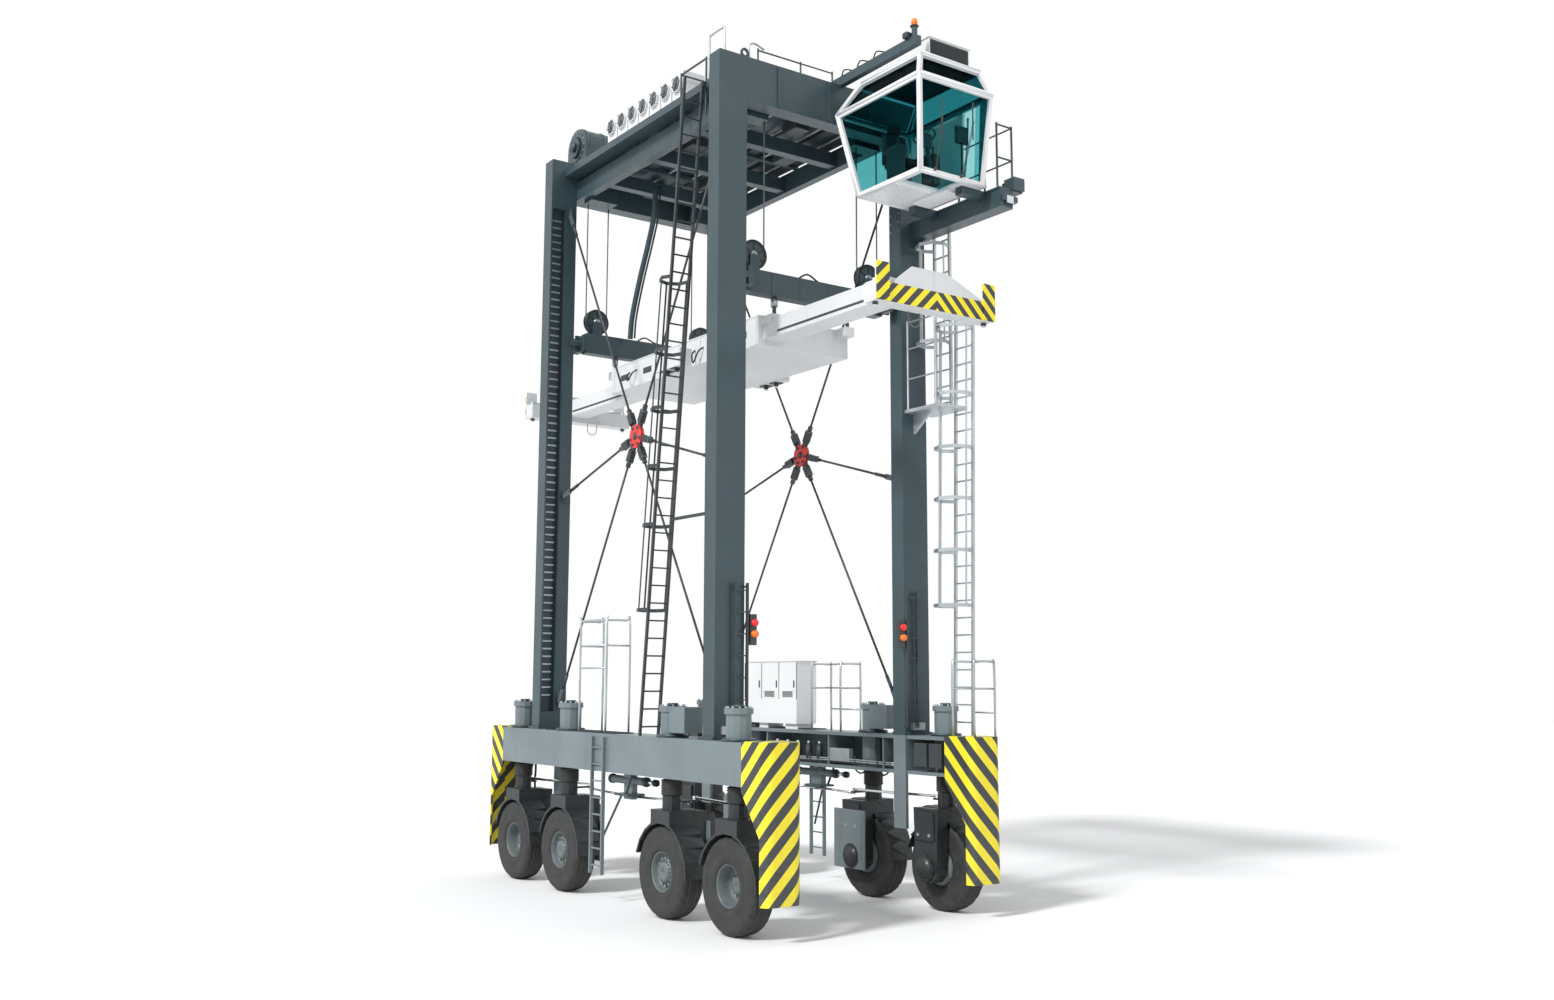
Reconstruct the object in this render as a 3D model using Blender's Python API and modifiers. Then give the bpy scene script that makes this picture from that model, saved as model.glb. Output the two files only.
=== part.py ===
# Straddle carrier for container ports: eight wheels, side beams, portal frame, cab, hoist and spreader.
# Metres. +X is the driving direction, +Y the left side, +Z up, with the ground at Z = 0.
import math

import bmesh
import bpy
from mathutils import Matrix, Vector

GAP = 0.0003

# wheels
TYRE_RADIUS = 0.7475
TYRE_WIDTH = 0.43
RIM_RADIUS = 0.330
TRACK_HALF = 2.145
OUTER_WHEEL_X = 3.83
INNER_WHEEL_X = 1.85
ARCH_INNER = 0.78
ARCH_OUTER = 0.82
ARCH_SIDE_IN = 1.90
ARCH_SIDE_OUT = 2.37
FORK_TOP = 1.74
ARM_OUTER = 1.90
ARM_INNER = 1.66
LEVER_Z = 1.865
LEVER_OUTER = 0.22
LEVER_INNER = 0.45
ROD_Z = 1.9103

# side beams
BEAM_OUTER = 2.40
BEAM_INNER = 1.72
BEAM_BOTTOM = 2.26
BEAM_TOP = 2.92
BEAM_END = 4.28
BEAM_WEB = 0.05
BEAM_FLANGE = 0.06
POT_RADIUS = 0.20
POT_HEIGHT = 0.48

# portal legs and cross beams
LEG_X_OUT = 3.29
LEG_X_IN = 2.97
LEG_Y_IN = 1.69
LEG_Y_OUT = 2.255
LEG_TOP = 14.41
CROSS_BOTTOM = 13.64
GUIDE_DEPTH = 0.15
GUIDE_BOTTOM = 3.25

# top
GIRDER_BOTTOM = 13.64
GIRDER_TOP = 14.02
DECK_BOTTOM = 14.10
DECK_TOP = 14.24
DECK_EDGE = 1.96

# bracing stars
STAR_Y = 1.87
STAR_Z = 8.28
STAR_TOP_Z = 13.30
STAR_MID_Z = 7.47
STAR_LOW_Z = 3.42

# bumpers
BUMPER_FRONT = 4.93
BUMPER_BOTTOM = 0.56
BUMPER_TOP = 2.94
BUMPER_PLATE = 0.03
BUMPER_ROUND = 0.16

# cab: floor, waist and roof rectangles as (x rear, x front, y right, y left, z)
CAB_FLOOR = (3.76, 5.40, 0.33, 1.78, 12.20)
CAB_WAIST = (3.34, 5.57, 0.18, 1.85, 13.79)
CAB_ROOF = (3.84, 5.42, 0.34, 1.70, 14.25)
CAB_SKIN = 0.05
GLASS_SKIN = 0.008

# hoist and spreader
HEAD_X = 2.84
HEAD_WIDTH = 0.22
HEAD_BOTTOM = 10.42
HEAD_TOP = 10.83
SHEAVE_RADIUS = 0.25
SHEAVE_Y = 1.26
SHEAVE_Z = 11.10
FRAME_HALF_X = 2.62
FRAME_HALF_Y = 0.98
FRAME_BOTTOM = 9.62
FRAME_TOP = 10.12
TELE_BOTTOM = 9.70
TELE_TOP = 10.04
TELE_WIDTH = 0.46
FRONT_TELE_Y = -0.66
REAR_TELE_Y = -0.14
LOCK_X = 5.9925
LOCK_Y = 1.13
LOCK_TIP = 9.53
END_HALF_X = 0.17
END_BOTTOM = 9.60
END_TOP = 9.90

bpy.ops.object.select_all(action="DESELECT")
for old in list(bpy.data.objects):
    bpy.data.objects.remove(old, do_unlink=True)

scene = bpy.context.scene
carrier = bpy.data.collections.new("straddle_carrier")
scene.collection.children.link(carrier)
shapes_kept = bpy.data.collections.new("shapes")
scene.collection.children.link(shapes_kept)


def material(name, colour, roughness, metallic=0.0):
    made = bpy.data.materials.new(name)
    made.use_nodes = True
    shader = made.node_tree.nodes["Principled BSDF"]
    shader.inputs["Base Color"].default_value = (*colour, 1.0)
    shader.inputs["Roughness"].default_value = roughness
    shader.inputs["Metallic"].default_value = metallic
    return made


def new_object(name, mesh):
    made = bpy.data.objects.new(name, mesh)
    shapes_kept.objects.link(made)
    return made


def from_bmesh(work, name="shape"):
    mesh = bpy.data.meshes.new(name)
    work.to_mesh(mesh)
    work.free()
    return new_object(name, mesh)


def box(x, y, z):
    work = bmesh.new()
    size = Matrix.Diagonal((abs(x[1] - x[0]), abs(y[1] - y[0]), abs(z[1] - z[0]), 1.0))
    place = Matrix.Translation(((x[0] + x[1]) / 2, (y[0] + y[1]) / 2, (z[0] + z[1]) / 2))
    bmesh.ops.create_cube(work, size=1.0, matrix=place @ size)
    return from_bmesh(work, "box")


def rod(start, end, radius, sides=12, far_radius=None):
    start = Vector(start)
    end = Vector(end)
    along = end - start
    turn = along.to_track_quat("Z", "Y").to_matrix().to_4x4()
    place = Matrix.Translation((start + end) / 2) @ turn
    work = bmesh.new()
    bmesh.ops.create_cone(
        work,
        cap_ends=True,
        segments=sides,
        radius1=radius,
        radius2=radius if far_radius is None else far_radius,
        depth=along.length,
        matrix=place,
    )
    return from_bmesh(work, "rod")


def bar(start, end, wide, deep, side=(0, 1, 0)):
    """A square bar between two points; wide lies along side."""
    start = Vector(start)
    end = Vector(end)
    along = (end - start).normalized()
    across = (Vector(side) - along * along.dot(Vector(side))).normalized()
    other = along.cross(across)
    turn = Matrix((across, other, along)).transposed().to_4x4()
    size = Matrix.Diagonal((wide, deep, (end - start).length, 1.0))
    work = bmesh.new()
    bmesh.ops.create_cube(work, size=1.0, matrix=Matrix.Translation((start + end) / 2) @ turn @ size)
    return from_bmesh(work, "bar")


def to_mesh(curve_object):
    graph = bpy.context.evaluated_depsgraph_get()
    mesh = bpy.data.meshes.new_from_object(curve_object.evaluated_get(graph))
    work = bmesh.new()
    work.from_mesh(mesh)
    bmesh.ops.remove_doubles(work, verts=work.verts, dist=0.00005)
    work.to_mesh(mesh)
    work.free()
    made = new_object("plate", mesh)
    made.matrix_world = curve_object.matrix_world
    bpy.data.objects.remove(curve_object, do_unlink=True)
    return made


def outline(points, low, high, axis="Y"):
    """A flat outline from low to high on the axis: (x, z) for Y, (x, y) for Z and (y, z) for X."""
    curve = bpy.data.curves.new("outline", "CURVE")
    curve.dimensions = "2D"
    curve.fill_mode = "BOTH"
    curve.extrude = (high - low) / 2
    spline = curve.splines.new("POLY")
    spline.points.add(len(points) - 1)
    for knot, (u, v) in zip(spline.points, points):
        knot.co = (u, v, 0.0, 1.0)
    spline.use_cyclic_u = True
    made = new_object("outline", curve)
    middle = (low + high) / 2
    if axis == "Y":
        made.matrix_world = Matrix.Translation((0, middle, 0)) @ Matrix.Rotation(math.radians(90), 4, "X")
    elif axis == "X":
        turn = Matrix(((0, 0, 1, middle), (1, 0, 0, 0), (0, 1, 0, 0), (0, 0, 0, 1)))
        made.matrix_world = turn
    else:
        made.matrix_world = Matrix.Translation((0, 0, middle))
    bpy.context.view_layer.update()
    return to_mesh(made)


def turned(profile, centre, side, steps):
    """A profile of (radius, outward) turned about an axle along Y; outward grows away from the machine."""
    points = [(radius, 0.0, along) for radius, along in profile]
    mesh = bpy.data.meshes.new("turned")
    mesh.from_pydata(points, [(i, i + 1) for i in range(len(points) - 1)], [])
    made = new_object("turned", mesh)
    screw = made.modifiers.new("turn", "SCREW")
    screw.steps = steps
    screw.render_steps = steps
    screw.use_merge_vertices = True
    screw.merge_threshold = 0.0001
    screw.use_smooth_shade = True
    lay = Matrix.Rotation(math.radians(-90 if side > 0 else 90), 4, "X")
    made.matrix_world = Matrix.Translation(centre) @ lay
    bpy.context.view_layer.update()
    graph = bpy.context.evaluated_depsgraph_get()
    solid = bpy.data.meshes.new_from_object(made.evaluated_get(graph))
    result = new_object("turned", solid)
    result.matrix_world = made.matrix_world
    bpy.data.objects.remove(made, do_unlink=True)
    return result


def node(name, shapes, look, origin=(0, 0, 0), cuts=()):
    """Joins the shapes into one solid, takes the cuts out of it and names it."""
    graph = bpy.context.evaluated_depsgraph_get()
    base = shapes[0]
    mesh = base.data
    mesh.transform(base.matrix_world)
    base.matrix_world = Matrix.Identity(4)
    mesh.transform(Matrix.Translation(-Vector(origin)))
    shapes_kept.objects.unlink(base)
    carrier.objects.link(base)
    base.name = name
    base.data.name = name
    base.location = origin
    for joined, operation in ((shapes[1:], "UNION"), (cuts, "DIFFERENCE")):
        if not joined:
            continue
        group = bpy.data.collections.new(name + "_" + operation.lower())
        shapes_kept.children.link(group)
        for shape in joined:
            shapes_kept.objects.unlink(shape)
            group.objects.link(shape)
            shape.hide_render = True
            shape.display_type = "WIRE"
        boolean = base.modifiers.new(operation.lower(), "BOOLEAN")
        boolean.operation = operation
        boolean.operand_type = "COLLECTION"
        boolean.collection = group
        boolean.solver = "EXACT"
    base.data.materials.clear()
    base.data.materials.append(look)
    return base


grey_blue = material("grey_blue_paint", (0.20, 0.28, 0.32), 0.45)
fork_black = material("fork_black_paint", (0.02, 0.024, 0.027), 0.5)
tyre_black = material("tyre_rubber", (0.035, 0.038, 0.04), 0.85)
rim_grey = material("rim_grey_paint", (0.22, 0.25, 0.26), 0.45)
light_grey = material("light_grey_paint", (0.68, 0.70, 0.71), 0.4)
stripe_yellow = material("stripe_yellow", (0.92, 0.80, 0.06), 0.45)
star_red = material("star_red", (0.75, 0.05, 0.04), 0.45)
zinc = material("zinc", (0.55, 0.60, 0.63), 0.4, 0.7)
dark_steel = material("dark_steel", (0.05, 0.06, 0.065), 0.5)
white_paint = material("white_paint", (0.85, 0.86, 0.87), 0.35)
tinted_glass = material("tinted_glass", (0.02, 0.22, 0.25), 0.05)

SIDES = (("right", -1), ("left", 1))
WHEELS = [
    ("front_outer", OUTER_WHEEL_X),
    ("front_inner", INNER_WHEEL_X),
    ("rear_inner", -INNER_WHEEL_X),
    ("rear_outer", -OUTER_WHEEL_X),
]


def arc(cx, cz, radius, start, end, count):
    steps = [math.radians(start + (end - start) * i / count) for i in range(count + 1)]
    return [(cx + radius * math.cos(a), cz + radius * math.sin(a)) for a in steps]


# wheels, forks with arches, king-pin stems
def tyre_shape(x, side):
    half = TYRE_WIDTH / 2
    profile = [
        (RIM_RADIUS + GAP, half - 0.04),
        (RIM_RADIUS + 0.06, half - 0.005),
        (0.66, half),
        (TYRE_RADIUS, half - 0.09),
        (TYRE_RADIUS, -half + 0.09),
        (0.66, -half),
        (RIM_RADIUS + 0.06, -half + 0.005),
        (RIM_RADIUS + GAP, -half + 0.04),
        (RIM_RADIUS + GAP, half - 0.04),
    ]
    return turned(profile, (x, side * TRACK_HALF, TYRE_RADIUS), side, 24)


def rim_shape(x, side, driven):
    half = TYRE_WIDTH / 2
    seat = ARM_OUTER + GAP - TRACK_HALF
    hub_out = 0.16 if driven else 0.04
    hub_radius = 0.17 if driven else 0.14
    profile = [
        (0.0, hub_out),
        (hub_radius - 0.04, hub_out),
        (hub_radius, hub_out - 0.03),
        (hub_radius, -0.02),
        (0.24, -0.06),
        (0.28, half - 0.035),
        (RIM_RADIUS, half - 0.035),
        (RIM_RADIUS, -half + 0.035),
        (0.24, seat + 0.02),
        (0.16, seat),
        (0.0, seat),
    ]
    return turned(profile, (x, side * TRACK_HALF, TYRE_RADIUS), side, 24)


for side_name, side in SIDES:
    for wheel_name, wheel_x in WHEELS:
        label = wheel_name + "_" + side_name
        hub = (wheel_x, side * TRACK_HALF, TYRE_RADIUS)
        driven = "inner" in wheel_name
        node("tyre_" + label, [tyre_shape(wheel_x, side)], tyre_black, hub)
        node("rim_" + label, [rim_shape(wheel_x, side, driven)], rim_grey, hub)

        king = (wheel_x, side * TRACK_HALF, FORK_TOP)
        head = 0.30
        lift = math.degrees(math.acos(head / ARCH_OUTER))
        contour = arc(wheel_x, TYRE_RADIUS, ARCH_OUTER, -3, lift, 4)
        contour += [(wheel_x + head, FORK_TOP), (wheel_x - head, FORK_TOP)]
        contour += arc(wheel_x, TYRE_RADIUS, ARCH_OUTER, 180 - lift, 162, 3)
        contour += arc(wheel_x, TYRE_RADIUS, ARCH_INNER, 162, -3, 10)
        faces = sorted((side * ARCH_SIDE_IN, side * ARCH_SIDE_OUT))
        arch = outline(contour, faces[0], faces[1])
        inner_faces = sorted((side * ARM_INNER, side * ARM_OUTER))
        leg_points = [
            (wheel_x - 0.26, 0.62),
            (wheel_x - 0.12, 0.50),
            (wheel_x + 0.12, 0.50),
            (wheel_x + 0.26, 0.62),
            (wheel_x + 0.31, FORK_TOP - 0.02),
            (wheel_x - 0.31, FORK_TOP - 0.02),
        ]
        arm = outline(leg_points, inner_faces[0], inner_faces[1])
        bridge = box(
            (wheel_x - 0.29, wheel_x + 0.29),
            (side * (ARM_OUTER - 0.05), side * (ARM_OUTER + 0.05)),
            (TYRE_RADIUS + ARCH_INNER + 0.01, FORK_TOP - 0.01),
        )
        stem_foot = (wheel_x, side * TRACK_HALF, FORK_TOP - 0.05)
        stem = rod(stem_foot, (wheel_x, side * TRACK_HALF, BEAM_BOTTOM - GAP), 0.13, 12)
        collar_foot = (wheel_x, side * TRACK_HALF, FORK_TOP - 0.03)
        collar = rod(collar_foot, (wheel_x, side * TRACK_HALF, 1.97), 0.155, 12)
        motor = rod(
            (wheel_x, side * (ARM_INNER - 0.06), TYRE_RADIUS),
            (wheel_x, side * (ARM_OUTER - 0.05), TYRE_RADIUS),
            0.22,
            16,
        )
        reach = LEVER_INNER if driven else LEVER_OUTER
        lever = bar(
            (wheel_x, side * (TRACK_HALF - 0.1), LEVER_Z),
            (wheel_x, side * (TRACK_HALF - reach - 0.04), LEVER_Z),
            0.12,
            0.03,
            (1, 0, 0),
        )
        node("fork_" + label, [arch, arm, bridge, stem, collar, motor, lever], fork_black, king)

# tie rods from the outer wheel's lever to the inner one's
for side_name, side in SIDES:
    for end_name, end in (("front", 1), ("rear", -1)):
        start = Vector((end * OUTER_WHEEL_X, side * (TRACK_HALF - LEVER_OUTER), ROD_Z))
        finish = Vector((end * INNER_WHEEL_X, side * (TRACK_HALF - LEVER_INNER), ROD_Z))
        tube_shape = rod(start, finish, 0.024, 8)
        pin = Vector((0, 0, 0.03))
        eyes = [rod(spot - pin, spot + pin, 0.045, 12) for spot in (start, finish)]
        node("tie_rod_" + end_name + "_" + side_name, [tube_shape] + eyes, zinc, start)


# side beams: a channel open to the inside, with the king-pin pots on it and the access ladder below
def pot_shapes(x, side):
    y = side * TRACK_HALF
    foot = BEAM_BOTTOM
    rim = BEAM_TOP + POT_HEIGHT
    return [
        rod((x, y, foot + 0.01), (x, y, BEAM_TOP + POT_HEIGHT), POT_RADIUS, 12),
        rod((x, y, rim - 0.06), (x, y, rim + 0.03), POT_RADIUS + 0.03, 12),
    ]


def rung_ladder(foot, top, step, half_width, across, rail=0.05, depth=0.05):
    """Two stringers and square rungs; across is the direction along a rung."""
    foot = Vector(foot)
    top = Vector(top)
    across = Vector(across)
    shapes = [
        bar(foot + across * half_width * s, top + across * half_width * s, rail * 0.6, depth, across)
        for s in (-1, 1)
    ]
    length = (top - foot).length
    count = int(length / step)
    for i in range(1, count + 1):
        at = foot.lerp(top, (i - 0.5) * step / length)
        shapes.append(bar(at - across * half_width, at + across * half_width, 0.026, 0.026, (top - foot)))
    return shapes


def handrail(points, base_z, radius=0.02, lift=(0.55, 1.05)):
    """Posts at the points and two rails between them; the points are (x, y)."""
    shapes = []
    for x, y in points:
        shapes.append(rod((x, y, base_z - 0.02), (x, y, base_z + lift[-1]), radius, 6))
    for i, (first, second) in enumerate(zip(points, points[1:])):
        thick = radius * (0.8 if i % 2 else 0.9)
        for height in lift:
            z = base_z + height - (0.0 if height != lift[-1] else 0.03)
            start = Vector((first[0], first[1], z))
            end = Vector((second[0], second[1], z))
            over = (end - start).normalized() * 0.006
            shapes.append(rod(start - over, end + over, thick, 6))
    return shapes


for side_name, side in SIDES:
    channel = [
        (side * BEAM_OUTER, BEAM_BOTTOM),
        (side * BEAM_OUTER, BEAM_TOP),
        (side * BEAM_INNER, BEAM_TOP),
        (side * BEAM_INNER, BEAM_TOP - BEAM_FLANGE),
        (side * (BEAM_OUTER - BEAM_WEB), BEAM_TOP - BEAM_FLANGE),
        (side * (BEAM_OUTER - BEAM_WEB), BEAM_BOTTOM + BEAM_FLANGE),
        (side * BEAM_INNER, BEAM_BOTTOM + BEAM_FLANGE),
        (side * BEAM_INNER, BEAM_BOTTOM),
    ]
    shapes = [outline(channel, -BEAM_END + GAP, BEAM_END - GAP, "X")]
    for x in (-3.13, 3.13):
        web = (BEAM_BOTTOM + 0.02, BEAM_TOP - 0.02)
        shapes.append(box((x - 0.16, x + 0.16), (side * 1.70, side * 2.36), web))
        shapes.append(box((x - 0.16, x + 0.16), (side * LEG_Y_IN, side * 1.75), (1.33, BEAM_TOP)))
    for x in (-2.6, -1.0, 1.0, 2.6):
        web = (BEAM_BOTTOM + 0.03, BEAM_TOP - 0.03)
        shapes.append(box((x - 0.02, x + 0.02), (side * 1.76, side * 2.36), web))
    for wheel_name, wheel_x in WHEELS:
        shapes += pot_shapes(wheel_x, side)
    # steering cylinder barrel and its bracket under the beam's middle
    shapes.append(rod((-0.35, side * 2.05, 2.12), (0.85, side * 2.05, 2.12), 0.07, 12))
    shapes.append(box((0.15, 0.45), (side * 2.0, side * 2.1), (1.80, BEAM_BOTTOM + 0.02)))
    # access ladder from near the ground to the beam
    shapes += rung_ladder(
        (-0.22, side * 2.425, 0.50), (-0.22, side * 2.425, 2.86), 0.29, 0.21, (1, 0, 0), 0.07, 0.06
    )
    # junction box on a pot
    junction_x = (INNER_WHEEL_X + 0.12, INNER_WHEEL_X + 0.62)
    shapes.append(box(junction_x, (side * 1.95, side * 2.3), (BEAM_TOP + 0.08, BEAM_TOP + 0.50)))
    node("side_beam_" + side_name, shapes, grey_blue)

# portal legs with a guide recess in the face that looks along the machine
LEGS = [("front", 1), ("rear", -1)]
for side_name, side in SIDES:
    for end_name, end in LEGS:
        shaft = box(
            (end * LEG_X_IN, end * LEG_X_OUT),
            (side * LEG_Y_IN, side * LEG_Y_OUT),
            (BEAM_TOP + GAP, LEG_TOP),
        )
        foot = box(
            (end * (LEG_X_IN - 0.08), end * (LEG_X_OUT + 0.04)),
            (side * (LEG_Y_IN + 0.04), side * (LEG_Y_OUT + 0.05)),
            (BEAM_TOP + GAP, BEAM_TOP + 0.05),
        )
        lugs = []
        for z in (STAR_TOP_Z, STAR_MID_Z, STAR_LOW_Z):
            lugs.append(
                box(
                    (end * (LEG_X_IN - 0.13), end * (LEG_X_IN + 0.02)),
                    (side * (STAR_Y - 0.03), side * (STAR_Y - 0.008)),
                    (z - 0.12, z + 0.12),
                )
            )
        recess = box(
            (end * (LEG_X_IN - 0.05), end * (LEG_X_IN + GUIDE_DEPTH)),
            (side * 1.93, side * 2.22),
            (GUIDE_BOTTOM, CROSS_BOTTOM - 0.25),
        )
        node("leg_" + end_name + "_" + side_name, [shaft, foot] + lugs, grey_blue, (0, 0, 0), [recess])

# cross beams between the legs' heads
front_beam = [
    box((LEG_X_IN, LEG_X_OUT), (-LEG_Y_IN + GAP, LEG_Y_IN - GAP), (CROSS_BOTTOM, LEG_TOP)),
    box((LEG_X_OUT - 0.02, LEG_X_OUT + 0.03), (-1.06, -1.02), (CROSS_BOTTOM + 0.02, LEG_TOP - 0.03)),
    box((LEG_X_OUT - 0.02, LEG_X_OUT + 0.03), (0.02, 0.06), (CROSS_BOTTOM + 0.02, LEG_TOP - 0.03)),
    box((3.05, 5.36), (0.30, 0.42), (LEG_TOP - 0.01, LEG_TOP + 0.15)),
    rod((5.26, 0.36, LEG_TOP + 0.12), (5.26, 0.36, LEG_TOP + 0.34), 0.05, 12),
]
front_beam += handrail([(3.2, -1.41), (3.2, -0.5), (3.2, 0.2)], LEG_TOP - 0.03, 0.018, (0.28,))
node("cross_beam_front", front_beam, grey_blue)
rear_beam = [
    box((-LEG_X_OUT, -LEG_X_IN), (-LEG_Y_IN + GAP, LEG_Y_IN - GAP), (CROSS_BOTTOM, LEG_TOP)),
    box((-LEG_X_OUT - 0.03, -LEG_X_OUT + 0.02), (-0.62, -0.58), (CROSS_BOTTOM + 0.02, LEG_TOP - 0.02)),
    box((-LEG_X_OUT - 0.03, -LEG_X_OUT + 0.02), (0.58, 0.62), (CROSS_BOTTOM + 0.02, LEG_TOP - 0.02)),
]
node("cross_beam_rear", rear_beam, grey_blue)

# hoist winch under a half-round hood on the rear cross beam
hood_y = (-1.62, -0.35)
hood_x = -3.16
hood_z = 14.84
hood = rod((hood_x, hood_y[0], hood_z), (hood_x, hood_y[1], hood_z), 0.40, 24)
hood_foot = box((hood_x - 0.40, hood_x + 0.40), hood_y, (LEG_TOP + GAP, hood_z))
hood_hub = rod((hood_x, hood_y[0] - 0.06, hood_z), (hood_x, hood_y[0] + 0.05, hood_z), 0.20, 16)
node("winch_hood", [hood, hood_foot, hood_hub], grey_blue)

# machinery deck: long girders, deck plate, engine block and walkway rails
deck_shapes = [
    box((-LEG_X_IN + GAP, LEG_X_IN - GAP), (-DECK_EDGE, 1.60), (DECK_BOTTOM, DECK_TOP)),
    box((-0.9, 1.9), (-0.75, 1.15), (DECK_TOP - 0.02, DECK_TOP + 0.30)),
    box((-2.6, -1.2), (-0.6, 1.15), (DECK_TOP - 0.02, DECK_TOP + 0.28)),
]
for side in (-1, 1):
    deck_shapes.append(
        box((-LEG_X_IN + GAP, LEG_X_IN - GAP), (side * 1.52, side * 1.69), (GIRDER_BOTTOM, GIRDER_TOP))
    )
    for x in (-2.2, -0.7, 0.8, 2.2):
        spacer = (GIRDER_TOP - 0.02, DECK_BOTTOM + 0.02)
        deck_shapes.append(box((x - 0.08, x + 0.08), (side * 1.53, side * 1.62), spacer))
for x in (-1.9, -0.2, 1.5):
    rib_z = (GIRDER_BOTTOM + 0.04, GIRDER_BOTTOM + 0.30)
    deck_shapes.append(box((x - 0.10, x + 0.10), (-1.60, 1.60), rib_z))
for x in (-2.72, 2.72):
    for y in (-SHEAVE_Y, SHEAVE_Y):
        hanger = (GIRDER_BOTTOM - 0.06, DECK_BOTTOM + 0.02)
        deck_shapes.append(box((x - 0.16, x + 0.16), (y - 0.3, y + 0.3), hanger))
deck_shapes += handrail([(2.36, -1.93), (1.52, -1.93), (1.52, -1.3)], DECK_TOP - 0.6, 0.022, (0.55, 1.05))
node("machinery_deck", deck_shapes, grey_blue)

# seven coolers in a row along the deck's right edge
cooler_pitch = 0.41
cooler_first = -1.21
cooler_end = cooler_first + 6 * cooler_pitch + 0.21
cooler_foot = (DECK_TOP + GAP, DECK_TOP + 0.16)
cooler_shapes = [box((cooler_first - 0.21, cooler_end), (-1.80, -1.34), cooler_foot)]
for i in range(7):
    x = cooler_first + i * cooler_pitch
    cooler_shapes.append(box((x - 0.18, x + 0.18), (-1.84, -1.38), (DECK_TOP + 0.10, DECK_TOP + 0.58)))
    cooler_shapes.append(rod((x, -1.87, DECK_TOP + 0.36), (x, -1.80, DECK_TOP + 0.36), 0.16, 12))
node("cooler_row", cooler_shapes, white_paint)

# white control cabinet on the left side beam
cabinet = [
    box((-1.94, -0.15), (1.86, 2.34), (BEAM_TOP + 0.10, 4.23)),
    box((-1.50, -1.20), (1.92, 2.30), (BEAM_TOP + GAP, BEAM_TOP + 0.12)),
    box((-0.60, -0.20), (1.92, 2.30), (BEAM_TOP + GAP, BEAM_TOP + 0.12)),
]
pot_room = rod(
    (-INNER_WHEEL_X, TRACK_HALF, BEAM_TOP - 0.1),
    (-INNER_WHEEL_X, TRACK_HALF, BEAM_TOP + POT_HEIGHT + 0.06),
    POT_RADIUS + 0.06,
    12,
)
node("control_cabinet", cabinet, white_paint, (0, 0, 0), [pot_room])

# bracing stars: a red hub plate with six rods to the legs' lugs
for side_name, side in SIDES:
    y = side * STAR_Y
    hub_shapes = [rod((0, y - 0.035, STAR_Z), (0, y + 0.035, STAR_Z), 0.22, 12)]
    for end in (-1, 1):
        for z in (STAR_TOP_Z, STAR_MID_Z, STAR_LOW_Z):
            aim = Vector((end * (LEG_X_IN - 0.07), 0, z - STAR_Z)).normalized()
            hub = Vector((0, y, STAR_Z))
            tip = Vector((end * (LEG_X_IN - 0.07), y, z))
            hub_shapes.append(bar(hub, hub + aim * 0.34, 0.05, 0.13))
            hub_shapes.append(bar(hub + aim * 0.28, hub + aim * 0.52, 0.10, 0.12))
            hub_shapes.append(rod(hub + aim * 0.48, tip - aim * 0.28, 0.02, 8))
            eye = Vector((tip.x, y + side * 0.0073, z))
            hub_shapes.append(bar(eye - aim * 0.32, eye, 0.03, 0.10))
    node("star_brace_" + side_name, hub_shapes, star_red)


# caged ladders
def hoop(centre, radius, z, open_toward, half_open=40):
    """A flat horseshoe round a ladder; open_toward is the direction, in degrees, of the ladder."""
    start = open_toward + half_open
    finish = open_toward + 360 - half_open
    ring = arc(centre[0], centre[1], radius, start, finish, 6)
    ring += arc(centre[0], centre[1], radius - 0.018, finish, start, 6)
    return outline(ring, z - 0.03, z + 0.03, "Z")


def cage(foot, top, heights, radius, offset, open_toward):
    """Hoops at the heights and upright bars between them, along a ladder from foot to top."""
    foot = Vector(foot)
    top = Vector(top)

    def centre(z):
        at = foot.lerp(top, (z - foot.z) / (top.z - foot.z))
        return Vector((at.x + offset[0], at.y + offset[1], z))

    shapes = [hoop(centre(z), radius, z, open_toward) for z in heights]
    for turn in (90, 180, 270):
        angle = math.radians(open_toward + turn)
        out = Vector((math.cos(angle), math.sin(angle), 0)) * (radius - 0.012)
        low = centre(heights[0] - 0.02) + out
        high = centre(heights[-1] + 0.02) + out
        shapes.append(bar(low, high, 0.03, 0.012, (-out.y, out.x, 0)))
    return shapes


near_y = -2.19
near_foot = (1.15, near_y, BEAM_TOP + 0.0032)
near_top = (2.37, near_y, 14.22)
near_inner = near_y + 0.18
near = rung_ladder(near_foot, near_top, 0.30, 0.18, (0, 1, 0), 0.07, 0.05)
near += cage(near_foot, near_top, (5.05, 6.5, 7.5, 8.5, 9.5, 10.75), 0.265, (-0.205, 0), 0)
near.append(bar((1.53, near_inner, 6.6), (LEG_X_IN - GAP, near_inner, 6.6), 0.04, 0.05))
near.append(box((2.33, 2.41), (near_inner - 0.015, -DECK_EDGE - GAP), (14.12, 14.20)))
node("caged_ladder_right", near, dark_steel)

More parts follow.
